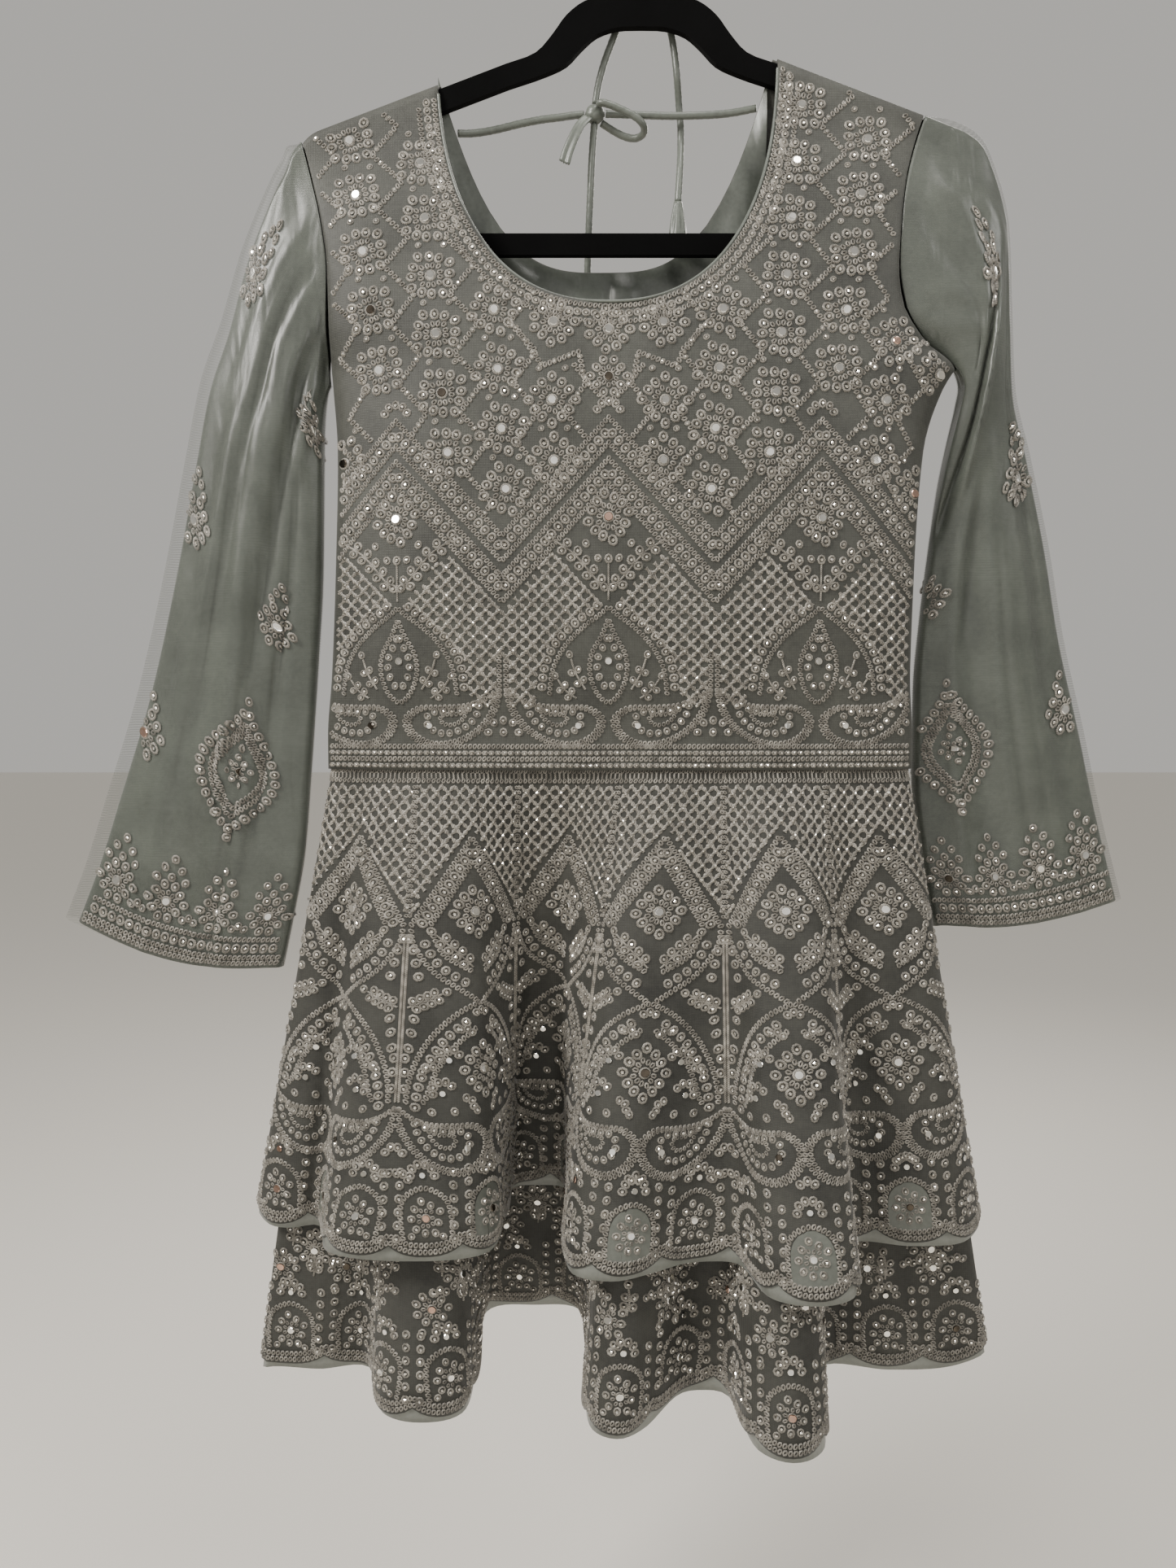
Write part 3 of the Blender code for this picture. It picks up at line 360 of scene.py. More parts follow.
# A sewn tube of satin: round, with a flat seam along it and small crosswise puckers
def tubeAlong(name, route, node, seed):
    line = throughPoints(route, 10)
    total = np.linalg.norm(np.diff(line, axis=0), axis=1).sum()
    line = evenly(line, int(total / tie["stepMm"]) + 1, 3)
    ahead = unit(np.gradient(line, axis=0))
    side = np.cross(ahead[0], (0, 0.3, 1))
    frames = []
    for a in ahead:  # carried along without twisting
        side = unit(side - a * np.dot(side, a))
        frames.append((side, np.cross(a, side)))
    angles = ringAngles(tie["ringPoints"])
    phase = np.random.default_rng(seed).uniform(0, 6.3, 4)
    radius = tie["diameter"] / 2 * tie["fill"]
    fromSeam = ((angles + phase[3]) % fullTurn - math.pi) / tie["seamWidth"]
    rings = []
    for centre, (u, v), s in zip(line, frames, np.linspace(0, total, len(line))):
        pucker = tie["wrinkle"] * (np.sin(s * 2.1 + 1.5 * np.sin(angles + phase[0]) + phase[1])
                                   + 0.6 * np.sin(s * 1.13 + 2 * angles + phase[2]))
        r = radius * (1 + pucker - tie["seam"] * np.exp(-fromSeam ** 2) / radius)
        rings.append(centre + r[:, None] * (np.cos(angles)[:, None] * u + np.sin(angles)[:, None] * v))
    obj = gridObject(name, np.array(rings), tieSatin, ring=True, capped=True, flip=True)
    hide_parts(node)
    return obj, line * mm, float(total * mm)


# A cone of satin gathered at the top, with folds that open to a stitched rim and a hollow inside
def tassel(name, top, node, seed):
    angles = ringAngles(tasselCone["points"])
    phase = np.random.default_rng(seed).uniform(0, 6.3, 3)
    rows = []
    for t in np.linspace(0, 1, tasselCone["rows"]):
        wide = tasselCone["topWide"] + (tasselCone["rimWide"] - tasselCone["topWide"]) * t ** 0.9
        fold = tasselCone["fold"] * math.sin(math.pi * min(t * 1.15, 1)) + 0.02
        r = wide / 2 * (1 + fold * np.sin(7 * angles + phase[0])
                          + 0.5 * fold * np.sin(11 * angles + phase[1] + 2 * t))
        height = np.full(len(angles), top[2] - tasselCone["gap"] - tasselCone["height"] * t)
        rows.append(np.stack((top[0] + r * np.cos(angles), top[1] + r * np.sin(angles), height), axis=1))
    for share, rise in ((tasselCone["rimShare"], 0), (tasselCone["hollowShare"], tasselCone["hollow"])):
        inner = rows[-1].copy()
        inner[:, :2] = np.array(top[:2]) + (inner[:, :2] - top[:2]) * share
        inner[:, 2] += rise
        rows.append(inner)
    obj = gridObject(name, np.array(rows), tieSatin, ring=True, capped=True)
    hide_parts(node)
    return obj


# The knot: turns of the tube wound round a core, pulled tight
def knotPiece():
    down = np.linspace(0.02, math.pi - 0.02, knot["rows"])
    t, a = np.meshgrid(down, ringAngles(knot["points"]), indexing="ij")
    wound = np.abs(np.sin(1.5 * (t * 1.6 + 0.9 * np.sin(a) + 0.3))) ** 0.6
    wrap = 1 - knot["strand"] + knot["strand"] * wound
    wrap -= knot["gap"] * np.exp(-((np.sin(a + t) - 0.2) / 0.16) ** 2)
    ball = np.stack((np.sin(t) * np.cos(a), np.sin(t) * np.sin(a), np.cos(t)), axis=-1)
    grid = np.array(knot["centre"]) + wrap[..., None] * np.array(knot["radii"]) * ball
    obj = gridObject("knot", grid, tieSatin, ring=True, capped=True)
    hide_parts("tie_knot")
    return obj


# The short flat end: a folded strip whose raw edge frays a little
def cutEndPiece():
    rows, columns = cutStrip["rows"], cutStrip["columns"]
    middle = evenly(throughPoints(cutEndRoute, 10), rows, 3)
    shares = np.linspace(-1, 1, columns)
    half = cutStrip["wide"] / 2 * np.linspace(0.8, 1, rows)
    grid = middle[:, None, :] + unit(np.array(cutStrip["across"])) * (half[:, None] * shares)[..., None]
    grid[..., 1] += cutStrip["cup"] * np.cos(shares * 5)[None, :] * np.linspace(0.4, 1, rows)[:, None]
    grid[-1, :, 2] += cutStrip["fray"] * np.sin(np.arange(columns) * 2.3)
    return shell("cutEnd", [grid], cutStrip["wall"], tieSatin, "tie_cut_end")


knotObject = knotPiece()
cutEndPiece()
tasselUp = tassel("tasselUp", upTailRoute[-1], "tassel_up", 11)
tasselDown = tassel("tasselDown", downTailRoute[-1], "tassel_down", 12)
for name, route, node, seed, farEnd, lay, extras in (
        ("tieLeft", leftTieRoute, "tie_left", 1, "knot", "taut", [knotObject]),
        ("tieRight", rightTieRoute, "tie_right", 2, "knot", "taut", []),
        ("tieTailUp", upTailRoute, "tie_tail_up", 3, "fitting", "hanging", [tasselUp]),
        ("tieTailDown", downTailRoute, "tie_tail_down", 4, "fitting", "hanging", [tasselDown]),
        ("tieBow", bowRoute, "tie_bow", 5, "object", "loose", [])):
    obj, path, total = tubeAlong(name, route, node, seed)
print("ties made")

# Embroidery: stitches laid out flat in millimetres (across, up, height), then carried onto the cloth
# The mirror shares say how many mirrors carry a painted warm reflection and how many a painted dark
# reflection
stitch = {"threadHeight": 0.9, "link": (4.4, 3.3, 0.62), "petal": (6.9, 6, 0.82), "coil": (7.4, 7.4, 0.9),
          "linkTurn": 1.15, "stoneRadius": 1.2, "mirrorRadius": 2.6, "flowerRadius": 14, "lift": 0.62,
          "warmMirrors": 0.06, "brownMirrors": 0.10, "backSpacing": 1.6}
petalLength = stitch["petal"][0]


# Twisted silk and metal thread: taupe strands in uneven patches of their own tone, with a painted pale
# highlight along each ridge's strands and painted shade in the grooves of the twist
def threadMaterial():
    material, tree, shader = newMaterial("thread_twisted_couched",
                                         {"Roughness": 0.42, "Sheen Weight": 0.3, "Sheen Roughness": 0.35})
    place = addNode(tree, "ShaderNodeTexCoord")
    twistScale = fullTurn / pattern["strandTurn"] / 10  # the map is in millimetres; diagonal waves count half
    twist = addNode(tree, "ShaderNodeTexWave", {"Scale": twistScale, "Distortion": 0.4},
                    {"Vector": (place, "UV")}, wave_type="BANDS", bands_direction="DIAGONAL")
    patch = addNode(tree, "ShaderNodeTexNoise", {"Scale": noiseScale(pattern["threadPatch"]), "Detail": 3},
                    {"Vector": (place, "Object")})
    # Painted light: the twist's waves add painted shade in the grooves and a painted highlight on the strands
    # to the patches' own tone
    shade = addNode(tree, "ShaderNodeMath", {1: 0.35}, {0: (twist, "Fac"), 2: (patch, "Fac")},
                    operation="MULTIPLY_ADD")
    # The dark stop is painted shade and the pale stop a painted highlight, spread over the thread's own range
    # of tone
    ramp = addNode(tree, "ShaderNodeValToRGB", links={"Fac": (shade, 0)},
                   stops=((0.25, "33312c"), (0.6, "67635b"), (0.95, "a5a096")))
    tree.links.new(ramp.outputs["Color"], shader.inputs["Base Color"])
    bump = addNode(tree, "ShaderNodeBump", {"Strength": 0.6, "Distance": 0.12 * mm},
                   {"Height": (twist, "Fac")})
    tree.links.new(bump.outputs["Normal"], shader.inputs["Normal"])
    return material


# Silvered glass seen through a clear top: a mirror surface with faint clouding
def foilMaterial(name, dark, light, roughness, cloud):
    material, tree, shader = newMaterial(name, {"Metallic": 1, "Roughness": roughness})
    place = addNode(tree, "ShaderNodeTexCoord")
    noise = addNode(tree, "ShaderNodeTexNoise", {"Scale": noiseScale(cloud), "Detail": 2},
                    {"Vector": (place, "Object")})
    ramp = addNode(tree, "ShaderNodeValToRGB", links={"Fac": (noise, "Fac")},
                   stops=((0.25, dark), (0.75, light)))
    tree.links.new(ramp.outputs["Color"], shader.inputs["Base Color"])
    return material


thread = threadMaterial()
archSatin = wovenMaterial("satin_woven_under_net", "42453f", "6b6e67", 0.4, 0.1, 0.5, 0.03)
stoneGlass = foilMaterial("glass_stone_foil_backed", "b9b3a6", "fbf8f0", 0.14, pattern["stoneCloud"])
mirrorGlass = foilMaterial("mirror_silvered_polished", "d5d3cc", "f4f2ec", 0.07, pattern["mirrorCloud"])
# Painted reflection: a warm salmon colour in the mirror stands in for warm things it reflects
mirrorPaintedWarm = foilMaterial("mirror_salmon_polished", "a98a79", "d0b0a0", 0.12, pattern["mirrorCloud"])
# Painted reflection: a dark brown colour in the mirror stands in for dark things it reflects
mirrorPaintedDark = foilMaterial("mirror_dulled_brown", "3f3a34", "6b6358", 0.16, pattern["mirrorCloud"])


# One panel's stitches; a fine bag has rounder loops, for the side that the eye is on
def newBag(seed, inside, fine=True):
    segments = (6, 8, 12) if fine else (4, 5, 6)
    shapes = {kind: ringTemplate(*stitch[kind], stitch["threadHeight"] * tall, count)
              for kind, tall, count in zip(("link", "petal", "coil"), (1, 1.2, 1.1), segments)}
    return {"thread": [], "stone": [], "mirror": [], "satin": [], "inside": inside, "fine": fine,
            "spacing": 1 if fine else stitch["backSpacing"], "rng": np.random.default_rng(seed)} | shapes


# A closed oval ridge of thread: inner foot, crest and outer foot
def ringTemplate(length, width, band, height, segments):
    a = ringAngles(segments)
    oval = np.stack((np.cos(a), np.sin(a)), axis=1)
    half = np.array((length / 2, width / 2))
    verts = np.concatenate([np.column_stack((oval * (half - inset), np.full(segments, h)))
                            for inset, h in ((2 * band, 0), (band, height), (0, 0))])
    around = a / fullTurn * math.pi * (length + width) / 2
    uvs = np.concatenate([np.column_stack((around, np.full(segments, v))) for v in (0, 0.6, 1.2)])
    i = np.arange(segments)
    j = (i + 1) % segments
    quads = np.stack((i, j, j + segments, i + segments), axis=1)
    return verts, uvs, [np.concatenate((quads, quads + segments))[:, ::-1]]


# A cut stone or a bevelled disc of radius 1
def gemTemplate(sides, table, height):
    a = ringAngles(sides)
    outer = np.column_stack((np.cos(a), np.sin(a), np.zeros(sides)))
    inner = np.column_stack((table * np.cos(a), table * np.sin(a), np.full(sides, height)))
    i = np.arange(sides)
    j = (i + 1) % sides
    quads = np.stack((i, j, j + sides, i + sides), axis=1)
    return np.concatenate((outer, inner)), np.zeros((2 * sides, 2)), [quads, (i + sides)[None, :]]


stoneShape = gemTemplate(5, 0.5, 0.42)
mirrorShape = gemTemplate(10, 0.84, 0.22)


# Copies of a shape at many places, kept where the panel is
def stamp(bag, kind, shape, x, z, angle=0, scale=1, liftBy=0, tilt=0):
    arrays = np.broadcast_arrays(*[np.asarray(value, float) for value in (x, z, angle, scale)])
    x, z, angle, scale = [array.ravel() for array in arrays]
    within = bag["inside"](x, z)
    x, z, angle, scale = [array[within][:, None] for array in (x, z, angle, scale)]
    if len(x) == 0:
        return
    verts, uvs, faces = shape
    vx, vz, h = [column * scale for column in verts.T]
    if tilt:
        lean = bag["rng"].uniform(-tilt, tilt, (2, len(x), 1))
        h = h + lean[0] * vx + lean[1] * vz + tilt * scale
    c, s = np.cos(angle), np.sin(angle)
    out = np.stack((x + vx * c - vz * s, z + vx * s + vz * c, h + liftBy), axis=-1).reshape(-1, 3)
    start = (np.arange(len(x)) * len(verts))[:, None, None]
    faces = [(f[None] + start).reshape(-1, f.shape[1]) for f in faces]
    bag[kind].append((out, np.tile(uvs, (len(x), 1)), faces))


# A mirror is a stamp too, with a flat setting and a little tilt
def mirror(bag, x, z, radius, turn=0, liftBy=0.35, tilt=0.06):
    stamp(bag, "mirror", mirrorShape, x, z, turn, radius, liftBy, tilt)


# Raised threads along lines of points, one line a row
def ridges(bag, x, z, width, height=None, keep=None):
    x, z = np.atleast_2d(x).astype(float), np.atleast_2d(z).astype(float)
    height = stitch["threadHeight"] if height is None else height
    keep = bag["inside"](x, z) if keep is None else np.atleast_2d(keep) & bag["inside"](x, z)
    dx, dz = np.gradient(x, axis=1), np.gradient(z, axis=1)
    size = np.maximum(np.hypot(dx, dz), 1e-9)
    wide = np.broadcast_to(width, x.shape) / 2
    nx, nz = -dz / size * wide, dx / size * wide
    foot = np.zeros(x.shape)
    verts = np.stack((np.stack((x - nx, z - nz, foot), -1), np.stack((x, z, foot + height), -1),
                      np.stack((x + nx, z + nz, foot), -1)), axis=2).reshape(-1, 3)
    uvs = np.stack((np.repeat(np.cumsum(size, axis=1).ravel(), 3), np.tile((0, 0.6, 1.2), x.size)), axis=1)
    both = keep[:, :-1] & keep[:, 1:]
    i = (np.arange(x.size).reshape(x.shape)[:, :-1][both] * 3)[:, None]
    quads = np.concatenate([i + np.array(((0, 1, 4, 3),)), i + np.array(((1, 2, 5, 4),))])
    if len(quads) == 0:
        return
    used, index = np.unique(quads, return_inverse=True)
    bag["thread"].append((verts[used], uvs[used], [index.reshape(quads.shape)[:, ::-1]]))


def lineLength(points):
    return np.hypot(*np.diff(np.asarray(points, float), axis=0).T).sum()


# Evenly spaced places and directions along a path
def pathAt(points, pitch, closed=False, curved=True):
    points = np.asarray(points, float)
    if closed:
        points = np.concatenate((points, points[:1]))
    line = throughPoints(points, 8)[:, :2] if curved and len(points) > 2 else points
    length = np.concatenate(((0,), np.cumsum(np.hypot(*np.diff(line, axis=0).T))))
    count = max(int(round(length[-1] / pitch)), 1)
    at = (np.arange(count) + 0.5) * length[-1] / count
    x, z = np.interp(at, length, line[:, 0]), np.interp(at, length, line[:, 1])
    ahead = np.interp(at + 0.4, length, line[:, 0]) - np.interp(at - 0.4, length, line[:, 0])
    rise = np.interp(at + 0.4, length, line[:, 1]) - np.interp(at - 0.4, length, line[:, 1])
    return x, z, np.arctan2(rise, ahead)


# A line of linked loops, with a stone at every so many links
def chain(bag, points, inside=None, pitch=2.9, scale=0.9, stones=0, closed=False, curved=True):
    x, z, angle = pathAt(points, pitch * bag["spacing"], closed, curved)
    keep = np.ones(len(x), bool) if inside is None else inside(x, z)
    stamp(bag, "thread", bag["link"], x[keep], z[keep], angle[keep] + stitch["linkTurn"], scale)
    if stones:
        some = keep & (np.arange(len(x)) % stones == 0)
        stamp(bag, "stone", stoneShape, x[some], z[some], angle[some], stitch["stoneRadius"] * 0.85, 0.5, 0.3)


# Oval loops, each round a stone; the long axis follows the angle
def stonedLoops(bag, x, z, angle, scale=1):
    stamp(bag, "thread", bag["petal"], x, z, angle, scale)
    x, z, angle, scale = [part.ravel() for part in np.broadcast_arrays(x, z, angle, scale)]
    some = slice(None, None, 1 if bag["fine"] else 2)  # every other one on the back
    radius = stitch["stoneRadius"] * np.sqrt(scale[some])
    stamp(bag, "stone", stoneShape, x[some], z[some], angle[some], radius, 0.35, 0.3)


# Stoned loops side by side along a path, or end to end
def loopRow(bag, points, inside=None, pitch=6.2, scale=0.9, closed=False, curved=True, along=False):
    x, z, angle = pathAt(points, pitch, closed, curved)
    keep = np.ones(len(x), bool) if inside is None else inside(x, z)
    stonedLoops(bag, x[keep], z[keep], angle[keep] + (0 if along else upward), scale)


# A flower: stoned petals round a coiled ring and a mirror
def rosette(bag, x, z, radius=14, petals=12, turn=0, tall=1):
    x, z = np.atleast_1d(np.asarray(x, float)), np.atleast_1d(np.asarray(z, float))
    a = ringAngles(petals) + turn
    scale = min(radius / stitch["flowerRadius"], 1)
    reach = (1 + 0.12 * np.cos(4 * (a - turn))) * (radius - petalLength * scale / 2)
    stonedLoops(bag, x[:, None] + reach * np.cos(a), z[:, None] + reach * np.sin(a) * tall, a, scale)
    if bag["fine"]:  # an inner round of links
        b = a + math.pi / petals
        nearX, nearZ = reach * 0.52 * np.cos(b), reach * 0.52 * np.sin(b) * tall
        stamp(bag, "thread", bag["link"], x[:, None] + nearX, z[:, None] + nearZ, b, scale * 0.95)
    stamp(bag, "thread", bag["coil"], x, z, 0, scale * 0.95)
    mirror(bag, x, z, stitch["mirrorRadius"] * np.sqrt(scale), bag["rng"].uniform(0, 6, len(x)), 0.5, 0.16)


# Motif points put in place, mirrored for the other side
def moved(points, x, z, flip=1):
    return np.asarray(points, float) * (flip, 1) + (x, z)


# A stem with pairs of stoned leaves and one at its tip
def sprig(bag, points, pairs=3, scale=0.8, spread=0.75):
    x, z, angle = pathAt(points, 1.4)
    ridges(bag, x, z, 1.1)
    x, z, angle = [array[:pairs] for array in pathAt(points, lineLength(points) / (pairs + 0.5))]
    for lean in (angle - spread, angle + spread):
        out = petalLength * scale * 0.62
        stonedLoops(bag, x + np.cos(lean) * out, z + np.sin(lean) * out, lean, scale)
    end, before = np.asarray(points[-1], float), np.asarray(points[-2], float)
    a = math.atan2(*(end - before)[::-1])
    stonedLoops(bag, end[0] + math.cos(a) * 2.6 * scale, end[1] + math.sin(a) * 2.6 * scale, a, scale)


teardrop = np.array([(0, 1), (0.30, 0.62), (0.78, 0.16), (0.86, -0.28), (0.52, -0.78), (0, -1),
                     (-0.52, -0.78), (-0.86, -0.28), (-0.78, 0.16), (-0.30, 0.62)])


# A pointed frame of stoned loops round a mirror, outlined with a chain
def teardropFrame(bag, x, z, half, tall, loops):
    chain(bag, moved(teardrop * (half, tall), x, z), closed=True, pitch=2.7, scale=0.8)
    inner = moved(teardrop * (half * 0.60, tall * 0.66), x, z)
    px, pz, _ = pathAt(inner, lineLength(np.concatenate((inner, inner[:1]))) / loops, closed=True)
    stonedLoops(bag, px, pz, np.arctan2(pz - z, px - x), 0.72)
    stamp(bag, "thread", bag["coil"], x, z, 0, 0.62)
    mirror(bag, x, z, stitch["mirrorRadius"] * 0.85, 0.3)


paisleyLine = np.array([(-1, 0.95), (-0.93, 0.30), (-0.62, -0.42), (-0.12, -0.90), (0.45, -1), (0.88, -0.62),
                        (0.98, -0.08), (0.70, 0.30), (0.20, 0.34), (-0.32, 0.40), (-0.70, 0.62)])


# A boat-shaped paisley: double outline, a row of stoned loops, rows of links and a mirror
def paisley(bag, x, z, wide, tall, flip=1):
    outline = moved(paisleyLine * (wide, tall), x, z, flip)
    centre = outline.mean(axis=0)
    ring = lambda share: centre + (outline - centre) * share
    chain(bag, outline, closed=True, pitch=2.8, scale=0.85)
    chain(bag, ring(1 + 2.6 / wide), closed=True, pitch=2.8, scale=0.8)
    loopRow(bag, ring(0.62), closed=True, pitch=5, scale=0.72)
    chain(bag, ring(0.3), closed=True, pitch=2.6, scale=0.75)
    end = moved([(0.52 * wide, -0.33 * tall)], x, z, flip)[0]
    mirror(bag, end[0], end[1], stitch["mirrorRadius"] * 0.8)


# Crossed threads of chain stitch with a stone at every other crossing
def lattice(bag, inside, box, pitch=5.6, slope=1, width=2.7):
    lowX, highX, lowZ, highZ = box
    reach = slope * (highX - lowX)
    starts = np.arange(lowZ - reach, highZ + reach, pitch * math.hypot(1, slope))
    across = np.arange(0, highX - lowX, 1.7 * bag["spacing"] / math.hypot(1, slope))
    pulse = width * (0.72 + 0.28 * np.cos(np.arange(len(across)) * math.pi))
    for sign in (-1, 1):
        x = np.broadcast_to(lowX + across, (len(starts), len(across)))
        z = starts[:, None] + sign * slope * across
        keep = inside(x, z) & (z > lowZ) & (z < highZ)
        ridges(bag, x, z, pulse[None, :], stitch["threadHeight"] * (1 if sign > 0 else 0.85), keep)
    i, j = np.meshgrid(np.arange(len(starts)), np.arange(len(starts)), indexing="ij")
    x = lowX + (starts[j] - starts[i]) / (2 * slope)
    z = (starts[i] + starts[j]) / 2
    keep = (i + j) % (2 if bag["fine"] else 4) == 0
    keep &= inside(x, z) & (x > lowX) & (x < highX) & (z > lowZ) & (z < highZ)
    stamp(bag, "stone", stoneShape, x[keep], z[keep], 0.4, stitch["stoneRadius"] * 0.9,
          stitch["threadHeight"] * 0.7, 0.3)


# A pale satin arch: straight foot and round head, as a grid that bends with the cloth
def archPatch():
    s, t = np.meshgrid(np.linspace(-1, 1, 9), np.linspace(-1, 1, 11))
    half = np.sqrt(np.clip(1 - np.clip(t - 0.1, 0, 1) ** 2 / 0.84, 0.02, 1)) * (1 - 0.06 * t)
    pucker = 0.03 + 0.03 * np.cos(s * 9 + t)
    verts = np.column_stack(((s * half * 12.5).ravel(), (t * 14.5).ravel(), pucker.ravel()))
    return verts, verts[:, :2], [gridFaces(11, 9)]


archShape = archPatch()


# Stoned loops that open like a fan from one point
def fan(bag, x, z, angle, count=3, spread=0.6, reach=5.5, scale=0.8):
    a = angle + (np.arange(count) - (count - 1) / 2) * spread
    stonedLoops(bag, x + reach * np.cos(a), z + reach * np.sin(a), a, scale)


# The meshes of a panel's work, carried onto the cloth and named after the cloth's piece
def finishBag(bag, place, name, lift=stitch["lift"]):
    made = []
    for kind, ending, materials, smooth in (
            ("thread", "Threads", [thread], True), ("stone", "Stones", [stoneGlass], False),
            ("mirror", "Mirrors", [mirrorGlass, mirrorPaintedWarm, mirrorPaintedDark], False),
            ("satin", "SatinArches", [archSatin], True)):
        if not bag[kind]:
            continue
        flat = np.concatenate([entry[0] for entry in bag[kind]])
        uvs = np.concatenate([entry[1] for entry in bag[kind]])
        starts = np.concatenate(((0,), np.cumsum([len(entry[0]) for entry in bag[kind]])[:-1]))
        sized = {}  # faces gathered by their number of corners
        for start, entry in zip(starts, bag[kind]):
            for faces in entry[2]:
                sized.setdefault(faces.shape[1], []).append(faces + start)
        faces = [np.concatenate(group) for group in sized.values()]
        verts = place(flat[:, 0], flat[:, 1], flat[:, 2] + lift)
        obj = makeObject(name + ending, verts, faces, materials, smooth, uvs)
        if kind == "mirror":
            # A few mirrors take the painted warm reflection and some take the painted dark one; the rest stay
            # silvered
            one = len(mirrorShape[0])
            paintedReflectionShares = (stitch["warmMirrors"], stitch["brownMirrors"])
            colour = bag["rng"].choice(3, len(flat) // one, p=(1 - sum(paintedReflectionShares), *paintedReflectionShares))
            index = np.concatenate([colour[f[:, 0] // one] for f in faces])
            obj.data.polygons.foreach_set("material_index", index.astype(np.int32))
        made.append(obj)
    return made


# Unit normals at points of a surface from two short steps on it, turned to the panel's outer side
def outwardNormal(across, down, side):
    normal = unit(np.cross(across, down))
    return normal * np.sign((normal[:, 1] * side).mean() or 1)


# Carries flat points onto a surface, each lifted along the surface's normal
def surfacePlace(surface, side):
    def place(u, v, h):
        step = 0.4
        across = surface(u + step, v) - surface(u - step, v)
        down = surface(u, v + step) - surface(u, v - step)
        return surface(u, v) + outwardNormal(across, down, side) * h[:, None]
    return place


# Bodice
bodiceHemZ = -530
roundness = 0.8
ridgeHalf = 4.6
shoulderLift = 2.8
Section = namedtuple("Section", "z left right front back")
bodiceSections = table(Section,
    (-113, -212, 178, 6, 6), (-142, -205, 167.4, 9, 8), (-162, -199, 160.6, 11, 10),
    (-185, -193, 154.8, 14, 13), (-207, -187.8, 152, 18, 16.5),
    (-234, -184.2, 150.8, 23, 20), (-256, -184, 154, 27, 21),
    (-276, -184, 168, 30, 21.5), (-292.5, -184, 187, 32, 22),
    (-300, -183.5, 182, 33, 22), (-341, -181, 169, 36, 23),
    (-409, -183, 164.8, 37, 24), (-473, -186.3, 163.6, 32, 24.5),
    (-512, -189.5, 165.6, 27, 25), (-530, -189.5, 165.6, 27, 25),
)
Neckline = namedtuple("Neckline", "centre half bottom height across down")
frontNeck = Neckline(-20, 100, -260, 150, 2.4, 2.2)
backNeck = Neckline(-22.5, 102.5, -227, 125, 3.2, 1)
Armhole = namedtuple("Armhole", "top under open")
leftArmhole = Armhole(-159.5, -300, 7)
rightArmhole = Armhole(-144.4, -292.5, 7)
armJunction = (62, -108.2)
armSlope = 0.37
hangerHalfWidth = 203
tipRadius = 20


# Places, values, steps and tangents of a curve without overshoot through one column
@lru_cache(maxsize=None)
def sectionCurve(rows, key, column):
    pairs = sorted((getattr(row, key), getattr(row, column)) for row in rows)
    x = np.array([pair[0] for pair in pairs])
    y = np.array([pair[1] for pair in pairs])
    step = np.diff(x)
    slope = np.diff(y) / step
    tangent = np.zeros(len(x))
    tangent[0] = slope[0]
    tangent[-1] = slope[-1]
    for i in range(1, len(x) - 1):
        if slope[i - 1] * slope[i] > 0:
            first = 2 * step[i] + step[i - 1]
            second = step[i] + 2 * step[i - 1]
            tangent[i] = (first + second) / (first / slope[i - 1] + second / slope[i])
    return x, y, step, tangent


# Values of the smooth curve through one column of a table of sections
def readSections(rows, key, column, at):
    x, y, step, tangent = sectionCurve(rows, key, column)
    at = np.clip(at, x[0], x[-1])
    i = np.clip(np.searchsorted(x, at) - 1, 0, len(x) - 2)
    t = (at - x[i]) / step[i]
    rise = t * t * (3 - 2 * t)
    return (y[i] * (1 - rise) + y[i + 1] * rise
            + step[i] * tangent[i] * t * (1 - t) ** 2 - step[i] * tangent[i + 1] * t * t * (1 - t))


# Height of the cloth over the hanger's arm
def shoulderLine(x):
    x = np.abs(x)
    lean = math.atan(armSlope)
    tipX = hangerHalfWidth - tipRadius
    tangentX = tipX + tipRadius * math.sin(lean)
    tipZ = armJunction[1] - armSlope * (tangentX - armJunction[0]) - tipRadius * math.cos(lean)
    line = armJunction[1] - armSlope * (x - armJunction[0])
    rounded = tipZ + np.sqrt(np.maximum(tipRadius ** 2 - (x - tipX) ** 2, 0))
    return np.where(x < tangentX, line, rounded) + shoulderLift


def ridge(drop):
    inside = np.clip(1 - drop / 4, 0, 1)
    return ridgeHalf * np.sqrt(1 - inside ** 2)


def edgeX(sign, z):
    return readSections(bodiceSections, "z", "left" if sign < 0 else "right", z)


# Points of the front (side -1) or back (side 1)
def bodicePoint(side, x, z):
    x, z = np.broadcast_arrays(np.asarray(x, float), np.asarray(z, float))
    left, right = edgeX(-1, z), edgeX(1, z)
    centre = (left + right) / 2
    reach = np.minimum(np.abs(x - centre) / ((right - left) / 2), 1)
    crown = (1 - reach ** (2 / roundness)) ** (roundness / 2)
    depth = readSections(bodiceSections, "z", "front" if side < 0 else "back", z)
    top = np.where(x < centre, leftArmhole.top, rightArmhole.top)
    under = np.where(x < centre, leftArmhole.under, rightArmhole.under)
    share = np.clip((top - z) / (top - under), 0, 1)
    edge = ridgeHalf + leftArmhole.open * np.sin(math.pi * share) ** 0.8
    drop = np.maximum(shoulderLine(x) - z, 0)
    upper = ridge(drop) + (edge + (depth - edge) * crown - ridgeHalf) * smoothStep(drop / 70)
    lower = 0.45 + (depth - 0.45) * crown
    closed = smoothStep((share - 0.78) / 0.22)
    y = np.maximum(upper * (1 - closed) + lower * closed, 0.6)
    return np.stack((x, side * y, z), axis=-1)


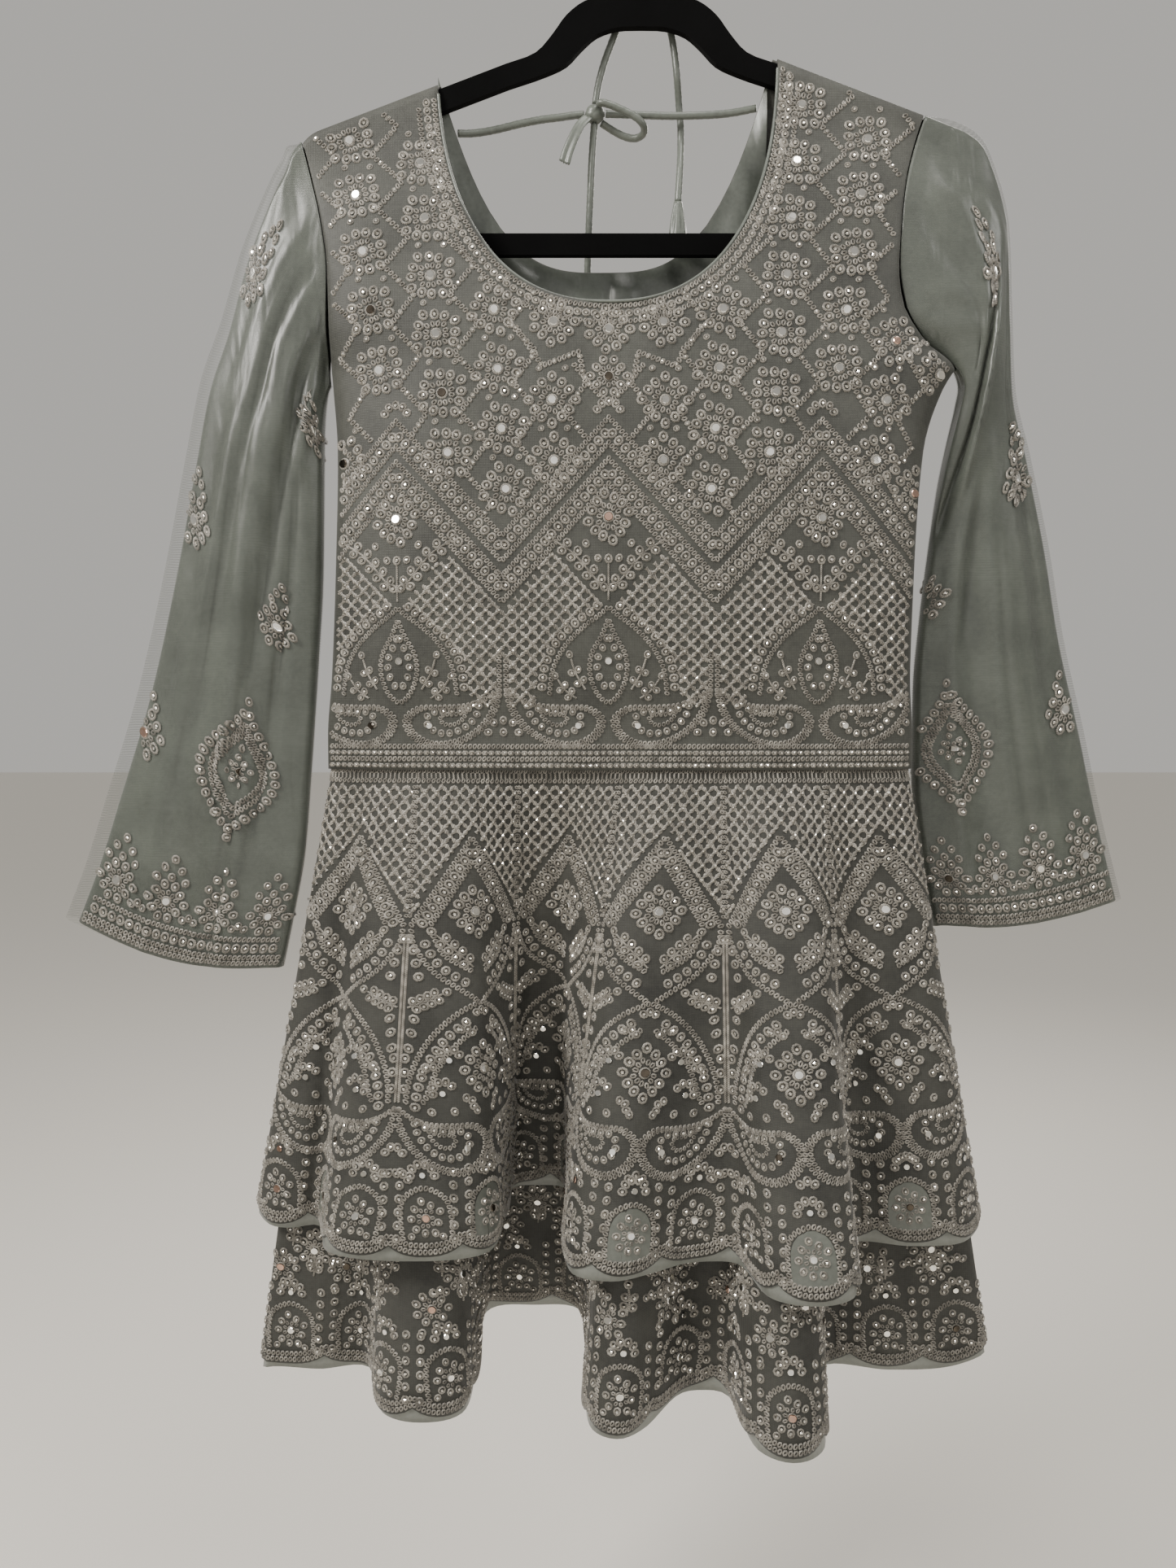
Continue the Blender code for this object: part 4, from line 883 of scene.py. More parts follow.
def neckX(neck, sign, z):
    h = np.clip((z - neck.bottom) / neck.height, 0, 1)
    return neck.centre + sign * neck.half * (1 - (1 - h) ** neck.down) ** (1 / neck.across)


def neckHeight(neck, x):
    d = np.minimum(np.abs(x - neck.centre) / neck.half, 1)
    return neck.bottom + neck.height * (1 - (1 - d ** neck.across) ** (1 / neck.down))


def innerX(neck, sign, z):
    turnZ = neck.bottom + 0.12 * neck.height
    half = (edgeX(1, z) - edgeX(-1, z)) / 2
    middle = (edgeX(1, z) + edgeX(-1, z)) / 2
    halfTurn = (edgeX(1, turnZ) - edgeX(-1, turnZ)) / 2
    middleTurn = (edgeX(1, turnZ) + edgeX(-1, turnZ)) / 2
    below = middle + (neckX(neck, sign, turnZ) - middleTurn) / halfTurn * half
    return np.where(z >= turnZ, neckX(neck, sign, z), below)


def strapX(neck, sign, s, z):
    return edgeX(sign, z) * (1 - s) + innerX(neck, sign, z) * s


def strapTop(neck, sign, s):
    z = np.full(np.shape(s), armJunction[1] - 20)
    for _ in range(40):
        z = 0.5 * z + 0.5 * shoulderLine(strapX(neck, sign, s, z))
    return z


def refine(values, times):
    values = np.asarray(values, float)
    spans = len(values) - 1
    return np.interp(np.linspace(0, spans, spans * times + 1), np.arange(len(values)), values)


ringShares = (0, 0.006, 0.03, 0.09, 0.18, 0.29, 0.41, 0.53, 0.65, 0.77, 0.87, 0.95, 0.985, 1)
bodice = {"rowTimes": 2, "sideTimes": 6, "strapTimes": 4, "neckColumns": 36, "wall": 1, "wave": 0.55}


# The panel as three grids that share their edges: two straps and the body
def bodiceBlocks(side, neck):
    ring = refine(ringShares, bodice["rowTimes"])
    strapRows = 7 * bodice["rowTimes"]
    sides = refine((0, 0.14, 0.32, 0.5, 0.68, 0.86, 1), bodice["sideTimes"])[1:]
    s = refine((0, 0.025, 0.09, 0.22, 0.46, 0.74, 1), bodice["strapTimes"])
    turnZ = neck.bottom + 0.12 * neck.height
    blocks = {}
    for sign, armhole in ((-1, leftArmhole), (1, rightArmhole)):
        top = strapTop(neck, sign, s)
        inner = (strapTop(neck, sign, np.array(1)) - turnZ) / ringShares[7]
        length = (armhole.top - armhole.under) * (1 - s) + inner * s
        upper = top[:, None] - ring * length[:, None]
        lower = upper[:, -1:] + (bodiceHemZ - upper[:, -1:]) * sides
        z = np.concatenate((upper, lower), axis=1)
        blocks[sign] = bodicePoint(side, strapX(neck, sign, s[:, None], z), z)
    left, right = blocks[-1], blocks[1][::-1]
    innerZ = left[-1][strapRows:, 2]
    fall = (innerZ[0] - innerZ) / (innerZ[0] - bodiceHemZ)
    q = np.linspace(0, 1, bodice["neckColumns"] + 1)[1:-1]
    top = np.full(q.shape, neck.bottom)
    for _ in range(40):
        x = innerX(neck, -1, top) * (1 - q) + innerX(neck, 1, top) * q
        top = 0.5 * top + 0.5 * neckHeight(neck, x)
    z = top[:, None] + (bodiceHemZ - top[:, None]) * fall
    x = innerX(neck, -1, z) * (1 - q[:, None]) + innerX(neck, 1, z) * q[:, None]
    body = np.concatenate((left[:, strapRows:], bodicePoint(side, x, z), right[:, strapRows:]))
    return [block.transpose(1, 0, 2) for block in (left[:, :strapRows + 1], body, right[:, :strapRows + 1])]


# Small soft waves of the cloth, none near its edges
def bodiceWave(side, x, z):
    left, right = edgeX(-1, z), edgeX(1, z)
    rim = np.clip(np.minimum(x - left, right - x) / 20, 0, 1) * np.clip((z - bodiceHemZ) / 6, 0.3, 1)
    rim *= np.clip((shoulderLine(x) - z) / 40, 0, 1)
    slant = np.sin(x / 17 + z / 41 + 1.3 * side) + 0.7 * np.sin(x / 9.5 - z / 60 + 2.1)
    gather = np.sin(x / 6.2 + 0.8 * np.sin(z / 30)) * smoothStep((-z - 455) / 75) * 1.1
    return bodice["wave"] * rim * (slant + gather)


def wavedBodice(side, grid):
    out = grid.copy()
    out[..., 1] += side * bodiceWave(side, grid[..., 0], grid[..., 2])
    return out


# The pattern repeats from a peak of the chevrons to the next valley, half a repeat away
layout = {"centre": -19.5, "half": 61.5, "peak": -342, "valley": -409, "flowerPitch": 34.4, "splay": 0.0011}
patternCentre, patternHalf = layout["centre"], layout["half"]
# Columns of flowers: distance from the middle, the lowest flower's height, flowers
flowerColumns = ((31.6, -352, 2), (60.8, -368, 8), (93, -347, 8), (127, -298, 6), (157, -349.4, 7),
                 (186, -366.6, 4))
# Rows of stitches: how far each lies below the neckline or the chevron, and the height of those at the waist
neckRows = ((2.8, "chain"), (7.4, "loops"), (12.2, "chain"))
chevronRows = ((-10.6, "chain"), (-5.3, "loops"), (0, "chain"), (6.6, "chain"), (11.8, "loops"),
               (17, "chain"))
waistRows = ((-516, "chain"), (-519.8, "stones"), (-523.4, "chain"), (-527.2, "stones"))
archLine = np.array([(0, -435), (5, -439.5), (14, -446), (25, -457), (32, -470), (34.5, -486)])
archSprigs = (((13, -483), (19, -473), (22, -464)), ((18, -488), (25, -483), (30, -476)))
diamondStem = ((2, -426), (11, -415), (21, -404), (32, -397))
valleyLoops = ((90, 7), (45, 8), (135, 8), (0, 9), (180, 9), (270, 0))  # angle, reach


# Distance from the nearest peak line of the bodice's pattern
def fromPeak(x):
    line = patternCentre + np.round((x - patternCentre) / (2 * patternHalf)) * 2 * patternHalf
    return np.abs(x - line)


def chevronZ(x):
    return layout["peak"] + (layout["valley"] - layout["peak"]) * fromPeak(x) / patternHalf


# Distances across and up grow apart a little towards the shoulders
def splayed(sign, away, z):
    return patternCentre + sign * away * (1 + layout["splay"] * (z + 340))


# Where the panel takes stitches: clear of its edges, of the neckline to either side too
def bodiceInside(neck, margin=1.9):
    def inside(x, z):
        left, right = edgeX(-1, z) + margin + 2, edgeX(1, z) - margin - 2
        under = np.ones(np.shape(x), bool)
        for shift in (-margin, 0, margin):
            near = np.abs(x + shift - neck.centre) < neck.half
            edge = neckHeight(neck, np.where(near, x + shift, neck.centre))
            under &= z < np.where(near, edge, 0) - margin * 0.9
        return (x > left) & (x < right) & (z > bodiceHemZ + 2) & under & (z < shoulderLine(x) - margin - 3)
    return inside


# Flowers in offset columns above the chevrons, with zigzag chains between the columns
def flowerField(bag, side, inside, flowerIn):
    pitch = layout["flowerPitch"]
    for sign in (-1, 1):
        for k, (away, lowest, count) in enumerate(flowerColumns):
            z = lowest + pitch * np.arange(count if side < 0 or k else 5)
            x = splayed(sign, away, z)
            keep = (flowerIn if k < 4 else inside)(x, z) & (z > chevronZ(x) + 23)
            rosette(bag, x[keep], z[keep], 15.4, 12, 0.3 * k)
            for turn in (0, math.pi):  # small leaves between the flowers
                stonedLoops(bag, x[keep] + 7.5 * math.cos(turn), z[keep] + pitch / 2 + 1, turn + 0.5, 0.62)
        for k, (away, _, _) in enumerate(flowerColumns):
            inner = flowerColumns[k - 1][0] if k else 5
            z = np.arange(-410, -115, pitch / 2) + (0 if k % 2 else pitch / 2)
            swing = np.where(np.arange(len(z)) % 2 == 0, 7, -7)
            x = splayed(sign, (away + inner) / 2 + swing, z)
            top = -296 if side < 0 and k == 0 else 0
            above = lambda px, pz, top=top: (pz > chevronZ(px) + 17) & (pz < top)
            chain(bag, np.stack((x, z), axis=1), above, pitch=3.1, scale=0.9, stones=4, curved=False)


# Flowers along the front neckline with a pointed chain under them, or a column on the back
def neckFlowers(bag, side, neck):
    if side < 0:
        rosette(bag, [-51, -19.5, 12], [-272.5, -276.5, -272.5], 14.4, 11)
        rosette(bag, patternCentre, -304, 12.6, 10)
        for sign in (-1, 1):
            points = [(54, -274), (38, -298), (17, -290), (14, -306), (0, -320)]
            chain(bag, moved(points, patternCentre, 0, sign), pitch=2.9, stones=3, curved=False)
    else:
        rosette(bag, patternCentre, np.arange(-322, neck.bottom - 16, layout["flowerPitch"]), 13, 9)


def neckEdge(bag, neck, inside):
    line = np.array([(neck.centre + neck.half * math.cos(a), 0) for a in np.linspace(math.pi, 0, 121)])
    line[:, 1] = neckHeight(neck, line[:, 0])
    ahead = unit(np.gradient(line, axis=0))
    for drop, kind in neckRows:
        row = line + np.stack((ahead[:, 1], -ahead[:, 0]), axis=1) * drop
        row = row[row[:, 1] < shoulderLine(row[:, 0]) - 6]
        if kind == "chain":
            chain(bag, row, inside, pitch=2.9, scale=0.85, curved=False)
        else:
            loopRow(bag, row, inside, pitch=5, scale=0.8, curved=False, along=True)


# A chevron's rows from outside in, with a flower and sprays in the diamond under its peak
def chevron(bag, peak, inside):
    top = moved([(-patternHalf, layout["valley"]), (0, layout["peak"]),
                 (patternHalf, layout["valley"])], peak, 0)
    for drop, kind in chevronRows:
        line = top - (0, drop * 1.36)
        if kind == "loops":
            loopRow(bag, line, inside, pitch=5.6, scale=0.95, curved=False)
        else:
            chain(bag, line, inside, pitch=2.8, scale=0.86, curved=False)
    rosette(bag, peak, layout["peak"] - 42, 14, 12, 0.2, 1.15)
    for sign in (-1, 1):
        sprig(bag, moved(diamondStem, peak, 0, sign), 5, 0.9)
        for across, z in ((6, -407.5), (13, -399)):
            stonedLoops(bag, peak + sign * across, z, upward - sign * 0.5, 0.75)
    sprig(bag, [(peak, -432), (peak, -420), (peak, -410)], 1, 0.85)
    fan(bag, peak, layout["peak"] + 16.5, upward, 5, 0.62, 7, 0.82)


# Where the lattice lies: under the chevrons, clear of diamonds, leaves, onion arches and stems
def latticeField(inside):
    def within(x, z):
        away = fromPeak(x)
        diamond = away / 40 + np.abs(z + 392) / 45 > 1
        leaf = ~((np.abs(z + 404 - 0.75 * (away - 17)) < 11) & (away < 38) & (z > -430))
        archHalf = np.interp(-z, -archLine[:, 1], archLine[:, 0], left=-10, right=34.5)
        boats = z > -468 - 22 * np.clip((away - 40) / 15, 0, 1) * (away < 55)
        stem = (away < patternHalf - 3.2) | (z > -466)
        free = (z < chevronZ(x) - 27) & diamond & leaf & (away > archHalf + 7.5)
        return inside(x, z) & free & (z > -492) & (boats | (away > 36)) & stem
    return within


# An onion arch with its teardrop and sprigs, and a pair of boat paisleys under it
def onionArch(bag, peak, inside):
    for sign in (-1, 1):
        flank = moved(archLine, peak, 0, sign)
        chain(bag, flank, inside, pitch=2.7, scale=0.8)
        loopRow(bag, flank + (sign * 4.6, 2.3), pitch=5.6, scale=0.86)
        for stem in archSprigs:
            sprig(bag, moved(stem, peak, 0, sign), 2, 0.72)
    teardropFrame(bag, peak, -466, 12.5, 24, 12)
    for sign in (-1, 1):
        paisley(bag, peak + sign * 31, -498.5, 26, 15.5, -sign)


def valleyStem(bag, valley, inside):
    for x in (valley - 2, valley + 2):
        chain(bag, [(x, -414), (x, -420)], inside, curved=False)
        chain(bag, [(x, -462), (x, -487)], inside, pitch=2.8, scale=0.85, curved=False)
    for angle, reach in valleyLoops:
        a = math.radians(angle)
        stonedLoops(bag, valley + reach * math.cos(a), -507.5 + reach * math.sin(a), a, 0.8)


# All the stitching of one bodice panel, laid out across and up in millimetres
def bodiceWork(side, neck, name, seed):
    inside = bodiceInside(neck)
    bag = newBag(seed, inside, side < 0)
    flowerField(bag, side, inside, bodiceInside(neck, 10))
    neckFlowers(bag, side, neck)
    neckEdge(bag, neck, inside)
    peaks = [patternCentre + 2 * patternHalf * n for n in (-1, 0, 1)]
    for peak in peaks:
        chevron(bag, peak, inside)
    lattice(bag, latticeField(inside), (-190, 170, -500, -395), 5.5, 1.03)
    for peak in peaks:
        onionArch(bag, peak, inside)
    for valley in [peaks[0] - patternHalf] + [peak + patternHalf for peak in peaks]:
        valleyStem(bag, valley, inside)
    for z, kind in waistRows:
        line = [(-195, z), (170, z)]
        if kind == "chain":
            chain(bag, line, inside, pitch=2.8, scale=0.86, curved=False)
        else:
            x, zs, _ = pathAt(line, 3.9, curved=False)
            keep = inside(x, np.maximum(zs, bodiceHemZ + 2.5))
            stamp(bag, "thread", bag["link"], x[keep], zs[keep], 0, 0.95)
            stamp(bag, "stone", stoneShape, x[keep], zs[keep], 0.3, 0.9, 0.5, 0.3)
    surface = lambda u, v: wavedBodice(side, bodicePoint(side, u, v))
    return finishBag(bag, surfacePlace(surface, side), name)


neckTrim = {"pipingRadius": 0.95, "pipingSides": 8, "liningDrop": 75, "pucker": 2.2}


# Thin satin tube sewn along the neckline's edge
def neckPiping(neck):
    x = neck.centre + neck.half * np.cos(np.linspace(math.pi, 0, 161))
    z = neckHeight(neck, x)
    keep = z < shoulderLine(x) - 5
    centre = bodicePoint(-1, x[keep], z[keep])
    along = unit(np.gradient(centre, axis=0))
    first = unit(np.cross(along, (0, 1, 0)))
    second = np.cross(along, first)
    turn = ringAngles(neckTrim["pipingSides"])
    ring = first[:, None] * np.cos(turn)[:, None] + second[:, None] * np.sin(turn)[:, None]
    piping = gridObject("neckPiping", centre[:, None] + ring * neckTrim["pipingRadius"], tieSatin, ring=True)
    return piping


# Satin lining inside the back neck, puckered by its stitching, with a seam down its middle
def backLining(neck):
    s, t = np.meshgrid(np.linspace(-0.95, 0.95, 71), np.linspace(0, 1, 20))
    x = neck.centre + s * neck.half
    top = neckHeight(neck, x) - 0.8
    z = top + (neck.bottom - neckTrim["liningDrop"] - top) * t
    grid = bodicePoint(1, x, z)
    slant = np.sin(x / 4.6 + z / 17 + 1.2 * np.sin(z / 9)) + 0.6 * np.sin(x / 9.3 - z / 11)
    seam = -1.2 * np.exp(-((x - patternCentre) / 1.6) ** 2)
    grid[..., 1] -= 1.6 + neckTrim["pucker"] * (1 + 0.55 * slant + seam) * np.clip(t * 6, 0, 1)
    lining = gridObject("backLining", grid, satinCloth)
    return lining


for side, neck, place, trim in ((-1, frontNeck, "Front", neckPiping), (1, backNeck, "Back", backLining)):
    grids = [wavedBodice(side, grid) for grid in bodiceBlocks(side, neck)]
    obj = shell("bodice" + place, grids, bodice["wall"], bodiceCloth, "bodice_" + place.lower())
    work = bodiceWork(side, neck, "bodice" + place, 21 + side) + [trim(neck)]
print("bodice made")

# Sleeves
Cut = namedtuple("Cut", "along outerX outerZ innerX innerZ front back middle sag")
leftSleeve = table(Cut,
    (0.00, -199, -159.5, -184, -300, 11, 11, 0, 0),
    (0.02, -204.6, -165.5, -185.6, -303.5, 11.5, 11, 0, 0),
    (0.05, -208.5, -175.5, -186.6, -308.5, 12.5, 12, 0, 1),
    (0.08, -214.5, -186, -187.3, -314, 13.5, 12, 0, 1),
    (0.14, -232, -226.8, -188, -327, 15, 13, 0, 2),
    (0.22, -244.5, -269.6, -188.5, -349, 16, 14, 0, 2),
    (0.30, -256.3, -303, -189, -376, 16, 14, 0, 2),
    (0.40, -265.5, -346.4, -190, -415, 15, 13, 0, 3),
    (0.52, -278.1, -409.5, -193.5, -466, 14, 12, 0, 4),
    (0.66, -295.6, -483.3, -198.5, -529, 12, 11, 0, 5),
    (0.81, -317, -550.4, -203.5, -583, 11, 10, 0, 7),
    (0.91, -329.5, -588.1, -210, -617, 10, 9, 0, 8),
    (1.00, -343.5, -623.4, -217.5, -652, 10, 8, 0, 10),
)
rightSleeve = table(Cut,
    (0.00, 167.4, -144.4, 187.5, -292.5, 11, 11, 0, 0),
    (0.03, 180, -149.2, 189.5, -295, 12, 11.5, 0, 0),
    (0.06, 192, -154, 191, -298.5, 13, 12, 0.3, 0),
    (0.09, 200.6, -160.6, 192, -302.5, 14, 12.5, 0.8, 0),
    (0.12, 206, -171, 192, -307, 15, 13, 1.5, 0),
    (0.19, 217.6, -207.1, 190, -319, 17, 14, 5, 1),
    (0.28, 221.8, -253.9, 186, -338, 17, 14, 9, 2),
    (0.37, 226, -301.4, 181.5, -364, 15, 13, 13, 2),
    (0.45, 236.4, -339.6, 178, -394, 13, 12, 16, 2),
    (0.56, 250.7, -398, 173.5, -440, 12, 11, 19, 2),
    (0.66, 260.7, -447.7, 171, -482, 11, 10, 21.5, 3),
    (0.78, 276.5, -508.4, 171.5, -535, 10, 9, 24, 4),
    (0.89, 289.4, -559.9, 178, -584, 9, 9, 26.5, 5),
    (1.00, 304.6, -614.8, 187, -633, 9, 8, 28, 6),
)
Crease = namedtuple("Crease", "acrossTop acrossEnd start end width height")
leftCreases = table(Crease,
    (0.62, 0.30, 0.03, 0.95, 0.075, 5), (0.36, 0.14, 0.05, 0.80, 0.060, 3.5),
    (0.80, 0.52, 0.06, 0.60, 0.060, -4), (0.50, 0.72, 0.45, 1.00, 0.080, 3),
)
rightCreases = table(Crease,
    (0.30, 0.85, 0.20, 0.42, 0.080, 6), (0.46, 0.99, 0.22, 0.46, 0.070, -6),
    (0.35, 0.30, 0.38, 1.00, 0.080, 3.5), (0.62, 0.60, 0.45, 0.95, 0.070, -3),
)
# Smaller creases that only the cloth has, on the front and on the back
leftFine = table(Crease,
    (0.52, 0.36, 0.04, 0.60, 0.022, 1.5), (0.70, 0.46, 0.08, 0.75, 0.024, 1.6),
    (0.26, 0.22, 0.30, 0.98, 0.026, 1.3), (0.44, 0.56, 0.40, 1.00, 0.022, 1.2),
    (0.84, 0.70, 0.15, 0.90, 0.028, -1.4), (0.92, 0.80, 0.04, 0.30, 0.030, 1.8),
    (0.60, 0.64, 0.62, 1.02, 0.020, -1.2), (0.12, 0.34, 0.52, 1.02, 0.026, 1.2),
    (0.30, 0.18, 0.00, 0.30, 0.035, 1), (0.48, 0.38, 0.00, 0.34, 0.030, -1),
    (0.70, 0.60, 0.00, 0.28, 0.030, 1.1), (0.86, 0.76, 0.00, 0.28, 0.028, 1),
)
rightFine = table(Crease,
    (0.20, 0.80, 0.16, 0.42, 0.060, 1.5), (0.32, 0.94, 0.17, 0.45, 0.060, -1.7),
    (0.60, 0.90, 0.40, 0.58, 0.045, 1.2), (0.50, 0.76, 0.42, 0.66, 0.045, -1.2),
    (0.24, 0.20, 0.40, 1.02, 0.026, 1.3), (0.46, 0.44, 0.42, 1.02, 0.024, 1.4),
    (0.74, 0.78, 0.46, 1.02, 0.030, 1.3), (0.10, 0.14, 0.20, 0.70, 0.024, -1.2),
    (0.30, 0.10, 0.03, 0.20, 0.050, 0.9), (0.66, 0.52, 0.04, 0.24, 0.040, 0.9),
    (0.15, 0.52, 0.01, 0.17, 0.045, 1), (0.40, 0.76, 0.03, 0.20, 0.040, -0.9),
    (0.64, 0.34, 0.08, 0.25, 0.035, 0.9), (0.82, 0.56, 0.05, 0.21, 0.036, 0.9),
)
sleeve = {"wall": 0.8, "workLift": 1.15, "fineHeight": 2.4, "sheerGap": 0.9, "sheerColumns": 9,
          "cuffFlowers": 4}
# Where the scattered flowers sit in the front view, each with its lean or its kind
leftButis = ((-228.9, -239.9, 0.1), (-195, -330, 0), (-266, -381.6, 0.1), (-217.3, -444.7, -0.05),
             (-298.1, -507.9, 0.1), (-240, -530, "mandorla"))
rightButis = ((205.5, -238.7, -0.7), (230.4, -354.5, -0.1), (177.7, -428.2, 0.1), (266.4, -493.1, -0.1),
              (196, -518.4, "mandorla"))


def armholeEdge(side, sign, share):
    armhole = leftArmhole if sign < 0 else rightArmhole
    z = armhole.top + (armhole.under - armhole.top) * share
    return bodicePoint(side, edgeX(sign, z), z)


def creaseHeight(creases, along, across):
    height = np.zeros(np.broadcast(along, across).shape)
    for crease in creases:
        t = np.clip((along - crease.start) / (crease.end - crease.start), 0, 1)
        place = crease.acrossTop + (crease.acrossEnd - crease.acrossTop) * t
        fade = np.maximum(np.sin(math.pi * t), 0) ** 0.6
        height = height + crease.height * fade * np.exp(-((across - place) / crease.width) ** 2)
    return height


# Points of one side of a sleeve: along from armhole to cuff, across from the outer to the inner fold
def sleevePoint(cuts, creases, fine, sign, along, across, side):
    along, across = np.broadcast_arrays(np.asarray(along, float), np.asarray(across, float))
    row = {name: readSections(cuts, "along", name, along) for name in Cut._fields}
    spanX, spanZ = row["innerX"] - row["outerX"], row["innerZ"] - row["outerZ"]
    length = np.hypot(spanX, spanZ)
    bulge = np.maximum(np.sin(math.pi * across), 0)
    placeX = row["outerX"] + spanX * across
    placeZ = row["outerZ"] + spanZ * across - row["sag"] * bulge
    depth = row["front"] if side < 0 else row["back"]
    rim = ridge(across * length) * ridge((1 - across) * length) / ridgeHalf
    y = rim + (depth - ridgeHalf) * bulge ** 0.8
    if side < 0:
        y = y + creaseHeight(creases, along, across)
    small = creaseHeight(fine, along, across) * np.minimum(1, bulge * 3)
    small = small * sleeve["fineHeight"] * smoothStep(along / 0.05)
    y = row["middle"] + side * y
    edge = armholeEdge(side, sign, across)
    first = cuts[0]
    straightX = first.outerX + (first.innerX - first.outerX) * across
    straightZ = first.outerZ + (first.innerZ - first.outerZ) * across
    hold = 1 - smoothStep(along / 0.16)
    before = armholeEdge(side, sign, np.maximum(across - 0.02, 0))
    after = armholeEdge(side, sign, np.minimum(across + 0.02, 1))
    path = after - before
    outward = np.stack((-path[..., 2], path[..., 0]), axis=-1) * sign
    outward = outward / np.linalg.norm(outward, axis=-1)[..., None]
    outward = outward * (0.9 + (2.3 - 0.9) * smoothStep((across - 0.5) / 0.3))[..., None]
    x = placeX + hold * (edge[..., 0] - straightX) + outward[..., 0]
    z = placeZ + hold * (edge[..., 2] - straightZ) + outward[..., 1]
    ringY = np.where(across < 0.998, np.maximum(np.abs(edge[..., 1]), 2.2), 0)
    return np.stack((x, y * (1 - hold) + side * (ringY * hold + small), z), axis=-1)


sleeveRows = refine((0, 0.025, 0.05, 0.08, 0.12, 0.18, 0.25, 0.32, 0.40, 0.50, 0.62, 0.75, 0.88, 1), 6)
sleeveAcross = refine(ringShares, 3)


def sleeveGrid(cuts, creases, fine, sign):
    front = sleevePoint(cuts, creases, fine, sign, sleeveRows[:, None], sleeveAcross, -1)
    back = sleevePoint(cuts, creases, fine, sign, sleeveRows[:, None], sleeveAcross[::-1][1:-1], 1)
    return np.concatenate((front, back), axis=1)


# The sheer layer: a hair outside the satin, drawn past it at the outer fold
def organzaGrid(grid, reach):
    normal = gridNormals(grid, ring=True)
    middle = grid.mean(axis=1, keepdims=True)
    flip = np.where(((grid - middle) * normal).sum(axis=(1, 2)) < 0, -1, 1)
    out = grid + normal * flip[:, None, None] * sleeve["sheerGap"]
    columns = np.arange(grid.shape[1])
    near = np.exp(-(np.minimum(columns, grid.shape[1] - columns) / sleeve["sheerColumns"]) ** 2)
    fall = smoothStep(np.linspace(0, 1, len(grid)) / 0.12) * reach
    outer = unit(grid[:, 0] - grid[:, grid.shape[1] // 2])
    return out + outer[:, None, :] * near[None, :, None] * fall[:, None, None]


# The sleeve's surface from millimetres across its middle line and down it, with a search by place
def sleeveSurface(cuts, creases, fine, sign, side):
    along = np.linspace(0, 1, 241)
    outer, inner = [np.stack([readSections(cuts, "along", end + axis, along) for axis in "XZ"], axis=1)
                    for end in ("outer", "inner")]
    middle = (outer + inner) / 2
    length = np.concatenate(((0,), np.cumsum(np.hypot(*np.diff(middle, axis=0).T))))
    wide = np.hypot(*(inner - outer).T)

    def surface(u, v):
        at = np.interp(-v, length, along)
        across = np.clip(0.5 - sign * u / np.interp(-v, length, wide), 0, 1)
        return sleevePoint(cuts, creases, fine, sign, at, across, side)

    def inside(u, v):
        return (np.abs(u) < np.interp(-v, length, wide) / 2 - 3) & (v < -8) & (-v < length[-1] - 2)

    def locate(x, z):
        u, v = [a.ravel() for a in np.meshgrid(np.linspace(-75, 75, 76), -np.linspace(10, length[-1], 150))]
        found = surface(u, v)
        best = np.argmin((found[:, 0] - x) ** 2 + (found[:, 2] - z) ** 2)
        return float(u[best]), float(v[best])
    return surface, inside, locate, length[-1], float(wide[-1])


# A pointed flower: a round of stoned loops with a tapering crown
def buti(bag, x, z, angle):
    rosette(bag, x, z, 14, 10, angle)
    for reach, spread in ((15.5, 0.36), (20, 0.14), (25, 0)):
        for s in ((-1, 1) if spread else (0,)):
            b = angle + upward + s * spread
            stonedLoops(bag, x + reach * math.cos(b), z + reach * math.sin(b), b, 0.82)


mandorlaLine = np.array([(0, 1), (0.34, 0.68), (0.78, 0.32), (1, -0.04), (0.84, -0.42), (0.44, -0.74),
                         (0, -1), (-0.44, -0.74), (-0.84, -0.42), (-1, -0.04), (-0.78, 0.32), (-0.34, 0.68)])


# A pointed oval of stoned loops and chains with a flower at its heart and loops at both tips
def mandorla(bag, x, z, half, tall):
    outline = mandorlaLine * (half, tall)
    loopRow(bag, moved(outline, x, z), closed=True, pitch=6.2, scale=0.95)
    for side, end in ((6.4, 7.6), (10, 12.6)):
        chain(bag, moved(outline * (1 - side / half, 1 - end / tall), x, z), closed=True)
    rosette(bag, x, z - 1, 9, 8, 0.2, 1.1)
    for rise in (13, -tall - 5.5, tall + 5.5):
        stonedLoops(bag, x, z + rise, upward, 0.85)


# A tree of stoned loops that narrows to its tip, standing on the cuff's band
def pyramidFlower(bag, x, z):
    rosette(bag, x, z + 12, 12.8, 10)
    for rise, reach in ((25, 8.5), (26.5, 0), (31.5, 5), (37.5, 0)):
        for s in ((-1, 1) if reach else (0,)):
            stonedLoops(bag, x + s * reach, z + rise, upward - s * 0.5, 0.84)


